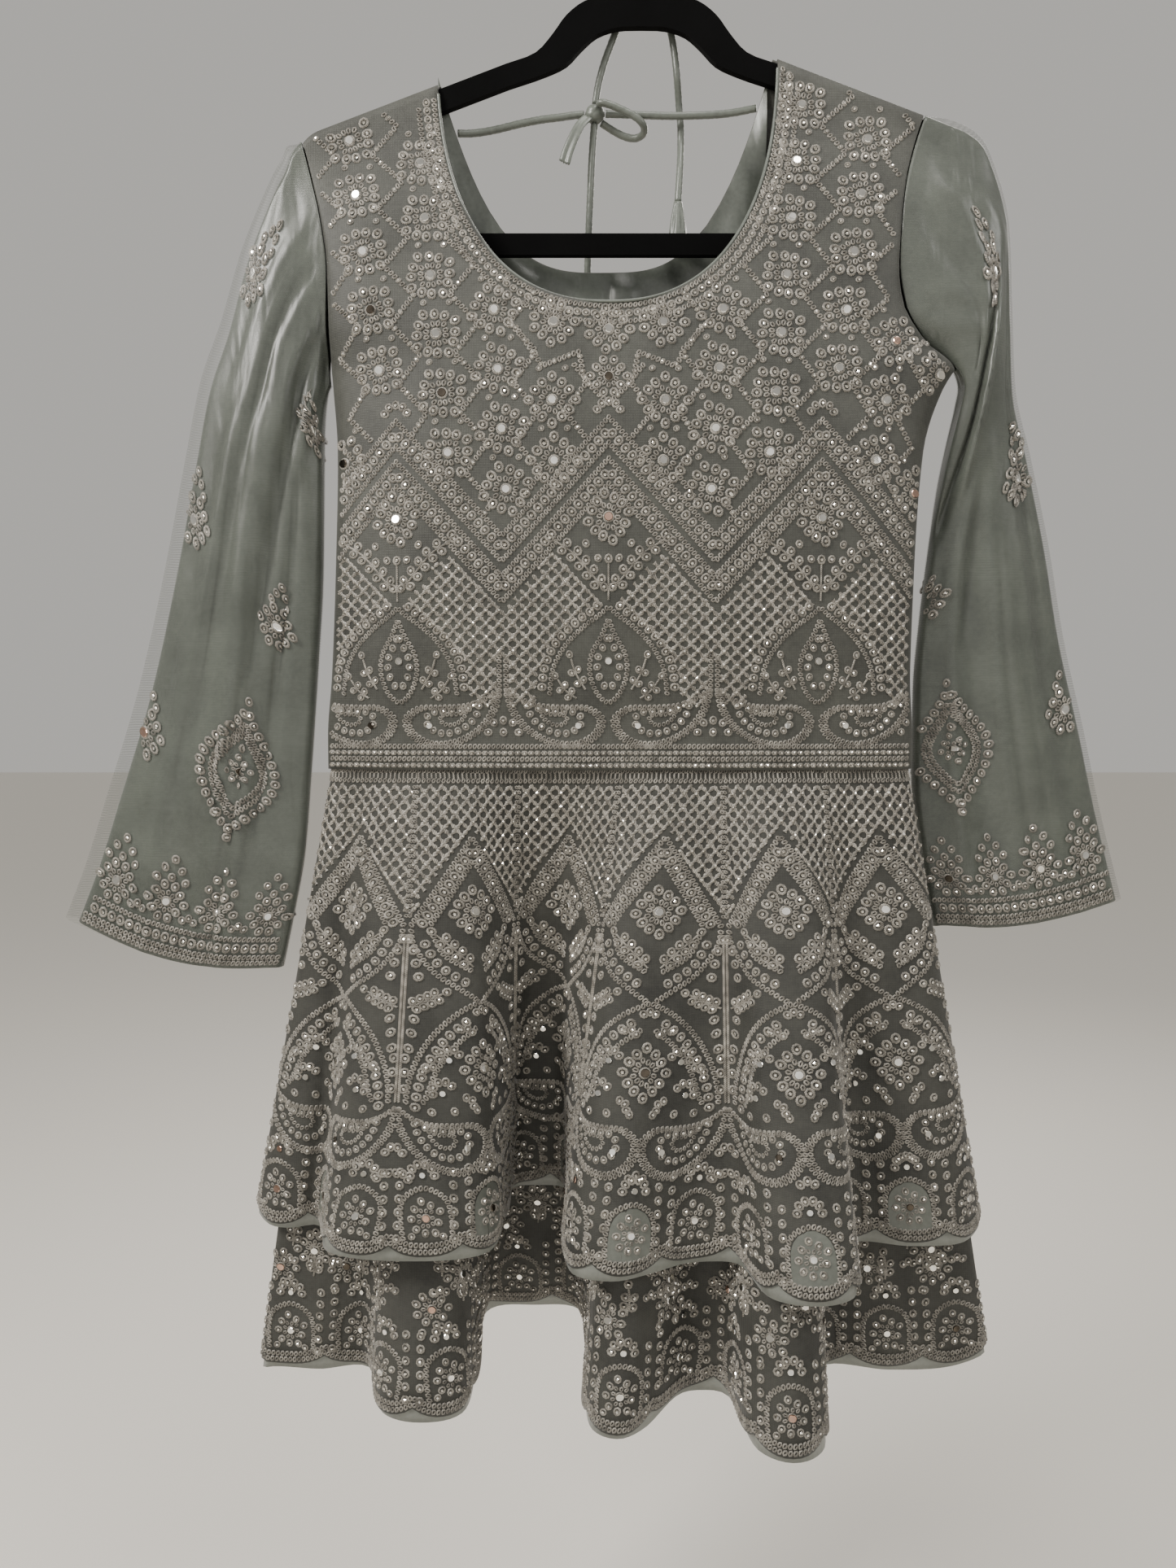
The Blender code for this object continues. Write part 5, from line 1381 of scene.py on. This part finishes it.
# Scattered flowers and the cuff's band
def sleeveWork(cuts, creases, fine, sign, side, name, places, seed):
    surface, inside, locate, length, cuff = sleeveSurface(cuts, creases, fine, sign, side)
    bag = newBag(seed, inside, side < 0)
    for x, z, kind in places:
        u, v = locate(x, z)
        if kind == "mandorla":
            mandorla(bag, u, v, 24, 36)
        else:
            buti(bag, u, v, kind)
    foot = 3.5 - length
    for rise in (0, 3.4, 14.6):
        chain(bag, [(-cuff / 2, foot + rise), (cuff / 2, foot + rise)], curved=False)
    loopRow(bag, [(-cuff / 2, foot + 9), (cuff / 2, foot + 9)], pitch=5.6, scale=0.95, curved=False)
    for k in range(sleeve["cuffFlowers"]):
        x = ((k + 0.5) / sleeve["cuffFlowers"] - 0.5) * (cuff - 2)
        pyramidFlower(bag, x, foot + 17.5)
        if k:
            fan(bag, x - cuff / 8, foot + 18, upward, 3, 0.9, 4.8, 0.8)
    return finishBag(bag, surfacePlace(surface, side), name, sleeve["workLift"])


# Reach is how far the sheer layer stands past the satin at the outer fold
for sign, name, cuts, creases, fine, places, reach, flat, area in (
        (-1, "Left", leftSleeve, leftCreases, leftFine, leftButis, 8, (0.28, 0.48), 0.089),
        (1, "Right", rightSleeve, rightCreases, rightFine, rightButis, 3, (0.26, 0.48), 0.083)):
    grid = sleeveGrid(cuts, creases, fine, sign)
    satinSleeve = shell("sleeve" + name, [grid], sleeve["wall"], satinCloth, "sleeve_" + name.lower(),
                        ring=True)
    sheer = gridObject("sheer" + name, organzaGrid(grid, reach), organza, ring=True)
    work = []
    for side, place in ((-1, "Front"), (1, "Back")):
        work += sleeveWork(cuts, creases, fine, sign, side, "sleeve" + name + place, places,
                           40 + sign + 3 * side)
print("sleeves made")

# Peplum tiers
Fold = namedtuple("Fold", "start end depth crown hem")
upperFront = table(Fold,
    (-227, -198, 14, 4, -808), (-184, -89, 50, 12, -808),
    (-79, -49, -36, -3, -805), (-41, 6, 70, 10, -811), (24, 54, 61, -3, -810),
    (68, 116, 90, 10, -815), (130, 196, 25, 5, -814),
)
lowerFront = table(Fold,
    (-226, -170, 7, 3, -902), (-154, -105, 46, 10, -908),
    (-97, -39, -62, -5, -901), (-30, 2, 60, 10, -909), (24, 50, 42, -4, -899),
    (64, 103, 78, 12, -910), (116, 196, 7, 4, -902),
)
upperBack = table(Fold,
    (-228, -216, 20, 2, -808), (-198, -154, 50, 8, -810),
    (-136, -122, 44, -2, -806), (-108, -24, 96, 8, -812),
    (-8, 28, 48, -3, -806), (44, 92, 76, 8, -812), (108, 134, 36, -2, -807),
    (150, 198, 32, 5, -811),
)
lowerBack = table(Fold,
    (-226, -208, 12, 2, -901), (-190, -158, 40, 7, -904),
    (-144, -122, 33, -2, -899), (-106, -38, 94, 8, -906),
    (-20, 34, 43, -3, -899), (52, 88, 66, 8, -905), (106, 134, 30, -2, -900),
    (148, 196, 22, 4, -903),
)
Tier = namedtuple("Tier", "left right leftHem rightHem inset")
upperTier = Tier(-238, 214, -804, -812, 2.9)
lowerTier = Tier(-237, 219, -903, -894, 6)
waistZ = -528
tierTopZ = -521
scallops = 18
tier = {"perScallop": 10, "rows": 20, "wall": 1, "seam": 0.15, "seamTurn": 1.2, "scallop": 6, "wave": 0.7}
panelColumns = scallops * tier["perScallop"] + 1


def squareEnds(plan, side):
    first, last = plan[0].copy(), plan[-1].copy()
    first[1] = side * tier["seamTurn"]
    last[1] = side * tier["seamTurn"]
    return np.concatenate((plan[:1], [first], plan[1:-1], [last], plan[-1:]))


# The hem seen from above, with its height as the third value
def hemPlan(folds, kind, side):
    points = [(kind.left, side * tier["seam"], kind.leftHem), (kind.left + 1.6, side * 6, kind.leftHem)]
    for fold in folds:
        for x, depth in ((fold.start, fold.depth), ((fold.start + fold.end) / 2, fold.depth + fold.crown),
                         (fold.end, fold.depth)):
            points.append((x, side * depth, fold.hem))
    points += [(kind.right - 1.6, side * 6, kind.rightHem), (kind.right, side * tier["seam"], kind.rightHem)]
    return squareEnds(evenly(throughPoints(points, 24), panelColumns), side)


# The bodice's lower edge seen from above, drawn in by the inset
def waistPlan(side, inset):
    row = bodiceSections[-1]
    centre = (row.left + row.right) / 2
    half = (row.right - row.left) / 2 - inset
    depth = (row.front if side < 0 else row.back) - inset
    angles = np.linspace(-upward, upward, 721)
    x = centre + half * np.sign(angles) * np.abs(np.sin(angles)) ** roundness
    y = side * (tier["seam"] + (depth - tier["seam"]) * np.abs(np.cos(angles)) ** roundness)
    return squareEnds(evenly(np.stack((x, y), axis=1), panelColumns), side)


# Points of the ruled panel: q runs over its columns, share from waist to hem
def tierPoint(waist, hem, q, share):
    q, share = np.broadcast_arrays(np.asarray(q, float), np.asarray(share, float))
    at = np.arange(len(hem))
    foot = np.stack([np.interp(q, at, column) for column in hem.T], axis=-1)
    head = np.stack([np.interp(q, at, column) for column in waist.T] + [np.full(q.shape, waistZ)], axis=-1)
    return head + (foot - head) * share[..., None]


# Shallow ripples between the folds that die out at the seams and the waist
def tierWave(q, share, seed):
    ends = np.clip(np.minimum(q, panelColumns + 1 - q) / 10, 0, 1)
    ripple = np.sin(q / 4.3 + seed) + 0.6 * np.sin(q / 2.6 + 3 * share + 2 * seed)
    return tier["wave"] * ends * smoothStep(share / 0.5) * ripple


# How far the edge rises between the tips of two scallops
def scallopRise(column):
    within = (np.clip(column - 1, 0, panelColumns - 1) / tier["perScallop"]) % 1
    return tier["scallop"] * np.abs(2 * within - 1) ** 2.6


gores = 6
perGore = scallops // gores
goreStep = 1000      # the flat layouts of two gores lie this far apart
hemLevel = -280      # any height near the hem, from which its true depth is read


# The panel's surface from gore coordinates, with the gore's width and the hem's depth
def tierSurface(hem, waist, side, seed):
    levels = np.linspace(0, 1, 21)
    q = np.arange(len(hem))
    lengths = [np.linalg.norm(np.diff(tierPoint(waist, hem, q, s), axis=0), axis=1).sum() for s in levels]
    generator = np.linalg.norm(hem - np.column_stack((waist, np.full(len(waist), waistZ))), axis=1)

    def width(depth):
        return np.interp(depth / generator.mean(), levels, lengths) / gores

    def columnOf(u, v):
        gore = np.round(u / goreStep)
        share = (gore + 0.5 + (u - gore * goreStep) / width(-v)) / gores
        return np.clip(share * (panelColumns - 1) + 1, 0, len(hem) - 1)

    def surface(u, v):
        column = columnOf(u, v)
        share = -v / np.interp(column, q, generator)
        across = tierPoint(waist, hem, column + 0.4, share) - tierPoint(waist, hem, column - 0.4, share)
        down = tierPoint(waist, hem, column, share + 0.01) - tierPoint(waist, hem, column, share - 0.01)
        wave = tierWave(column, share, seed)[:, None]
        return tierPoint(waist, hem, column, share) + outwardNormal(across, down, side) * wave

    def hemDepth(u, v=hemLevel):
        column = columnOf(u, np.full(np.shape(u), v) if np.isscalar(v) else v)
        return np.interp(column, q, generator) - scallopRise(column)

    def inside(u, v):
        gore = np.round(u / goreStep)
        x = u - gore * goreStep
        half = width(-v) / 2
        ends = ((gore > 0) | (x > 3 - half)) & ((gore < gores - 1) | (x < half - 3))
        return (np.abs(x) < half) & ends & (v < -1) & (-v < hemDepth(u, v) - 1.8)
    return surface, width, hemDepth, inside


hemArch = {"frame": ((-13.9, -13), (-14.4, 0), (-11.8, 10.5), (0, 16.6), (11.8, 10.5), (14.4, 0),
                     (13.9, -13)),
           "above": 22, "flankRises": (-12, -4.5, 3, 10.5, 18, 25.5), "edgeChains": (2.8, 6.4)}


# A place in a gore at a share of its width, a distance above the scalloped edge
def overHem(gore, width, hemDepth, share, above):
    base = gore * goreStep
    foot = float(hemDepth(np.array([base + share * width(-hemLevel)]))[0])
    return base + share * float(width(foot - above)), above - foot, foot


# The hem's row of arches, each over one scallop, with loops between and chains on the edge
def archBand(bag, gore, width, hemDepth, satinEvery):
    base, above = gore * goreStep, hemArch["above"]
    for k in range(perGore):
        share = (k + 0.5) / perGore - 0.5
        x, z, foot = overHem(gore, width, hemDepth, share, above)
        if satinEvery and (gore * perGore + k) % satinEvery == 1:  # satin shows in some arches only
            stamp(bag, "satin", archShape, x, z)
        else:
            stonedLoops(bag, x + np.array((-9, 9)), z - 10.5, np.array((0.6, math.pi - 0.6)), 0.7)
        chain(bag, moved(hemArch["frame"], x, z))
        rosette(bag, x, z - 0.3, 10.6, 9, 0.4, 1.12)
        mirror(bag, x, z + 24, 1.9, liftBy=0.4)
        fan(bag, x, z + 23.5, upward, 6, 0.62, 6.8, 0.86)
        for flank in (-0.5, 0.5):
            for rise in hemArch["flankRises"]:
                edge = base + (share + flank / perGore) * float(width(foot - above - rise))
                stonedLoops(bag, edge - flank * 8.6, z + rise, upward + flank * 1.2, 0.84)
    across = np.linspace(-0.4999, 0.4999, 61)
    level = hemDepth(base + across * width(-hemLevel))
    for inset in hemArch["edgeChains"]:
        chain(bag, np.stack((base + across * width(level - inset), inset - level), axis=1), curved=False)


# The upper tier's motifs, across from the gore's middle and up from the waist
upperGore = {
    "peak": 42, "valley": 95,  # depths of the pointed frame
    "dome": ((0, -138.5), (12, -144), (26, -155), (37, -169), (44, -184), (47, -197)),
    "domeFans": ((10.5, -158.5, 0.3, 3, 0.8, 4.6, 0.78), (20, -171, -0.2, 5, 0.7, 5.6, 0.84),
                 (25, -190, -0.4, 5, 0.7, 5.8, 0.84), (13, -198.5, 0.9, 3, 0.8, 4.6, 0.8),
                 (31, -180, -0.4, 3, 0.8, 4.6, 0.78)),  # lean, loops, spread, reach, scale
    "domeMirrors": ((20.5, -172), (25.5, -191)),
    "seamDepths": (102, 118, 134, 150, 166, 182, 196),
    "seamLeaves": ((104, 4, 0.15), (111, 6.5, 0.7), (118.5, 8, 0.9), (126, 9.5, 1.1), (146, 8, 2.2),
                   (154, 7, 2.3), (163, 6, 2.4), (173, 5, 0.6), (181, 5, 0.7), (190, 4.5, 0.8)),
    "footLoops": (-0.82, -0.5, -0.17, 0.17, 0.5, 0.82),
}


# Border of the waist seam: two chains with short bars between
def waistBorder(bag, base, wide):
    for z in (-2.6, -8.6):
        chain(bag, [(base - wide(-z) / 2, z), (base + wide(-z) / 2, z)], scale=0.8, curved=False)
    x = base + np.arange(-wide(5) / 2 + 1, wide(5) / 2, 2.6)
    ridges(bag, np.stack((x, x + 0.2), axis=1), np.full((len(x), 2), (-3.8, -7.4)), 1.1)


# One half of a gore's pointed frame and ogee dome; the rich front has an extra row on each
def frameAndDome(bag, base, sign, half, domeWide, rich):
    peak, valley = upperGore["peak"], upperGore["valley"]
    put = lambda points, widen=1: moved(points, base, 0, sign * widen)
    chain(bag, put([(0, -peak), (half - 1.5, -valley)]), curved=False)
    loopRow(bag, put([(0, -peak - 7), (half - 6.5, -valley)]), pitch=5.8, scale=0.95, curved=False)
    chain(bag, put([(0, -peak - 13.6), (half - 11.8, -valley + 1)]), curved=False)
    chain(bag, put([(half - 2, -valley - 1), (half - 2.4, -valley - 9), (25, -121), (12, -131),
                    (2, -138)]))
    loopRow(bag, put([(half - 7.5, -valley - 7), (22, -117), (6, -129)]), pitch=5.8, scale=0.9)
    if rich:
        chain(bag, put([(half - 13, -valley - 4), (19, -111), (4, -121)]))
    sprig(bag, put([(3, -119), (12, -109.5), (23, -99)]), 4 if rich else 3, 0.88)
    dome = np.array(upperGore["dome"])
    chain(bag, put(dome, domeWide))
    loopRow(bag, put(dome[1:] - 4.6, domeWide), pitch=5.8, scale=0.92)
    if rich:
        chain(bag, put(np.concatenate((dome[1:-1] - (8.6, 9.4), ((38, -197),))), domeWide))
    for across, z, lean, count, spread, reach, scale in upperGore["domeFans"]:
        fan(bag, base + sign * across, z, upward + sign * lean, count, spread, reach, scale)
    for across, z in upperGore["domeMirrors"]:
        mirror(bag, base + sign * across, z, 1.9, liftBy=0.4, tilt=0.08)


# Leaf spray along the seam between two gores, and the boat paisley and fans below it
def seamSpray(bag, base, sign, width, wide):
    depths = np.array(upperGore["seamDepths"])
    ridges(bag, base + sign * (width(depths) / 2 - 0.9), -depths, 1.5)
    for depth, reach, lean in upperGore["seamLeaves"]:
        a = upward + sign * lean
        edge = base + sign * (wide(depth) / 2 - 1)
        stonedLoops(bag, edge + math.cos(a) * reach * 0.8, -depth + math.sin(a) * reach * 0.5, a, 0.92)
    half = wide(134) / 2
    sprig(bag, moved([(half - 1, -142), (half - 10, -138.5), (half - 21, -133.5)], base, 0, sign), 4, 0.84)
    boat = wide(215) / 4
    paisley(bag, base + sign * boat, -216.5, boat - 2.6, 18.5, -sign)
    for share, z in ((0.97, -226), (0.94, -241)):
        fan(bag, base + sign * wide(236) / 2 * share, z, upward + sign * 0.5, 3, 0.8, 5, 0.85)


# One gore of the upper tier from the waist to the scallops
def upperGoreWork(bag, gore, width, hemDepth):
    base = gore * goreStep
    wide = lambda depth: float(width(depth))
    peak, valley = upperGore["peak"], upperGore["valley"]
    half, domeWide = wide(valley) / 2, wide(198) / 104

    def latticeIn(u, v):
        away = np.abs(u - base)
        return (v < -10.5) & (-v < peak - 4 + (valley - peak) * away / half) & (away < width(-v) / 2 - 0.5)
    waistBorder(bag, base, wide)
    lattice(bag, latticeIn, (base - 46, base + 46, -96, -10), 5.3, 1.25)
    for sign in (-1, 1):
        frameAndDome(bag, base, sign, half, domeWide, bag["fine"])
        seamSpray(bag, base, sign, width, wide)
    rosette(bag, base, -86, 14.4, 12, 0.1, 1.05)
    fan(bag, base, -148, upward, 3, 0.8, 4.6, 0.8)
    rosette(bag, base, -178, 14.4, 12, 0, 1.15)
    fan(bag, base, -240, upward, 3, 0.9, 5, 0.85)
    foot = np.array(upperGore["footLoops"])
    stonedLoops(bag, base + foot * 40 * domeWide, -201.5, upward - foot, 0.8)
    for side in (-0.5, 0.5):  # the seam between two gores
        depths = np.array((11, 50, 90))
        chain(bag, np.stack((base + side * (width(depths) - 1.6), -depths), axis=1), scale=0.7, curved=False)
    archBand(bag, gore, width, hemDepth, 3)


lowerGore = {"start": 268, "sprigRows": ((6, 0), (24, 0.5), (42, 0))}  # depth, sideways shift


# One gore of the lower tier, from where the upper one stops hiding it
def lowerGoreWork(bag, gore, width, hemDepth):
    base, start = gore * goreStep, lowerGore["start"]
    for below, shift in lowerGore["sprigRows"]:
        d = start + below
        wide = float(width(d))
        for k in range(-2, 3):
            x = base + (k + shift) * wide / 4
            if abs(x - base) < wide / 2:
                sprig(bag, [(x, -d - 9), (x + 1, -d), (x, -d + 7)], 2, 0.86)
            if abs(x + wide / 8 - base) < wide / 2:
                fan(bag, x + wide / 8, -d - 3, upward, 3, 0.8, 4.6, 0.8)
    if bag["fine"]:
        for share in (-0.25, 0.25):
            rosette(bag, base + share * float(width(start + 32)), -start - 34, 12.5, 10)
            chain(bag, [(base + (share + aside) * float(width(depth)), rise - start)
                        for aside, depth, rise in ((-0.22, 320, -20), (0, 310, -14), (0.22, 320, -20))])
        for k in range(2 * perGore):  # flowers that keep their distance from the hem where the folds fall low
            share = (k + 0.5) / (2 * perGore) - 0.5
            x, z, _ = overHem(gore, width, hemDepth, share, 62 + 17 * (k % 2))
            if z < -start - 40:
                rosette(bag, x, z, 11.6, 9, 0.3 * k)
                stonedLoops(bag, x + np.array((-7, 7)), z - 13.5, np.array((0.9, math.pi - 0.9)), 0.8)
    archBand(bag, gore, width, hemDepth, 0)


# The panel in its folds, with scallops, and a straight strip up into the waist seam
def tierGrid(hem, waist, side, waveSeed):
    q = np.arange(len(hem))
    down = np.linspace(0, 1, tier["rows"])[:, None] ** 0.9 * np.ones(len(q))
    grid = tierPoint(waist, hem, q, (1 - scallopRise(q) / (waistZ - hem[:, 2])) * down)
    normal = gridNormals(grid)
    normal *= np.where((normal[..., 1] * side).mean() < 0, -1, 1)
    grid = grid + normal * tierWave(q, down, waveSeed)[..., None]
    top = grid[:1].copy()
    top[..., 2] = tierTopZ
    return np.concatenate((top, grid))


# Facing of pale satin behind the scalloped edge
def facingGrid(hem, waist, side):
    q = np.arange(len(hem))
    along = unit(np.gradient(hem[:, :2], axis=0))
    inward = np.stack((along[:, 1], -along[:, 0]), axis=1) * side
    strip = []
    for fall in np.linspace(facing["fall"] - facing["wide"], facing["fall"], 4):
        row = tierPoint(waist, hem, q, 1 + fall / (waistZ - hem[:, 2]))
        row[:, :2] += inward * facing["behind"]
        strip.append(row)
    return np.array(strip)[:, 2:-2]


facing = {"wide": 20, "fall": 3, "behind": 1.7, "wall": 0.6}
# Each panel with its folds, the seeds of its ripples and stitches, and the flat size and area of its cloth
for level, place, goreWork, folds, kind, side, waveSeed, seed, flat, area in (
        ("upper", "Front", upperGoreWork, upperFront, upperTier, -1, 0.4, 61, (0.80, 0.29), 0.152),
        ("upper", "Back", upperGoreWork, upperBack, upperTier, 1, 1.9, 62, (0.69, 0.29), 0.138),
        ("lower", "Front", lowerGoreWork, lowerFront, lowerTier, -1, 2.7, 63, (0.86, 0.38), 0.207),
        ("lower", "Back", lowerGoreWork, lowerBack, lowerTier, 1, 4.2, 64, (0.68, 0.38), 0.178)):
    hem, waist = hemPlan(folds, kind, side), waistPlan(side, kind.inset)
    ending = level + "_" + place.lower()
    obj = shell(level + place, [tierGrid(hem, waist, side, waveSeed)], tier["wall"], netCloth,
                "peplum_" + ending)
    satinFacing = shell("facing" + level.capitalize() + place, [facingGrid(hem, waist, side)], facing["wall"],
                        hemSatin, "facing_" + ending)
    surface, width, hemDepth, inside = tierSurface(hem, waist, side, waveSeed)
    bag = newBag(seed, inside, side < 0)
    for gore in range(gores):
        goreWork(bag, gore, width, hemDepth)
    work = finishBag(bag, surfacePlace(surface, side), level + place)
print("tiers made")

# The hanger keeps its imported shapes
for node, material in (("hanger_frame", velvet), ("hanger_hook", chrome)):
    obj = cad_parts[node]
    obj.data.materials.clear()
    obj.data.materials.append(material)

# A large plain floor under the hem, in matt paint: no gloss, so it shows no reflection
floorPlan = {"half": 14, "height": -1.25}
floorPaint, _, _ = newMaterial("floor_paint_matt", {"Base Color": srgb("ece8e0"), "Roughness": 0.9})
corners = [(x * floorPlan["half"], y * floorPlan["half"], floorPlan["height"])
           for x, y in ((-1, -1), (1, -1), (1, 1), (-1, 1))]
floorMesh = bpy.data.meshes.new("floor")
floorMesh.from_pydata(corners, [], [(0, 1, 2, 3)])
floorMesh.materials.append(floorPaint)
floor = bpy.data.objects.new("floor", floorMesh)
bpy.context.scene.collection.objects.link(floor)

# Soft lights: name, place, height of the point they face, size, power in watts, colour
for name, place, targetZ, size, power, colour in (
        ("keyLight", (-1.15, -0.85, 0.55), -0.5, 0.5, 36, (1, 0.965, 0.92)),
        ("sideLight", (1.1, -0.8, 0.3), -0.5, 0.5, 7, (1, 0.98, 0.96)),
        ("topLight", (0.1, -0.45, 0.7), -0.4, 0.4, 6.5, (1, 0.97, 0.94)),
        ("frontLight", (-0.1, -1.7, -0.3), -0.45, 1.8, 6, (1, 0.98, 0.96)),
        ("backLight", (0.7, 1.3, 0.6), -0.5, 0.9, 14, (1, 0.95, 0.89))):
    light = bpy.data.objects.new(name, bpy.data.lights.new(name, "AREA"))
    light.data.size = size
    light.data.energy = power
    light.data.color = colour
    light.location = place
    light.rotation_euler = (Vector((0, 0, targetZ)) - Vector(place)).to_track_quat("-Z", "Y").to_euler()
    bpy.context.scene.collection.objects.link(light)

# The room's light comes from all round, weak and nearly white
world = bpy.data.worlds.new("studio")
bpy.context.scene.world = world
world.use_nodes = True
world.node_tree.nodes["Background"].inputs["Color"].default_value = srgb("f2efe9")
world.node_tree.nodes["Background"].inputs["Strength"].default_value = 0.55
print("floor and lights set")
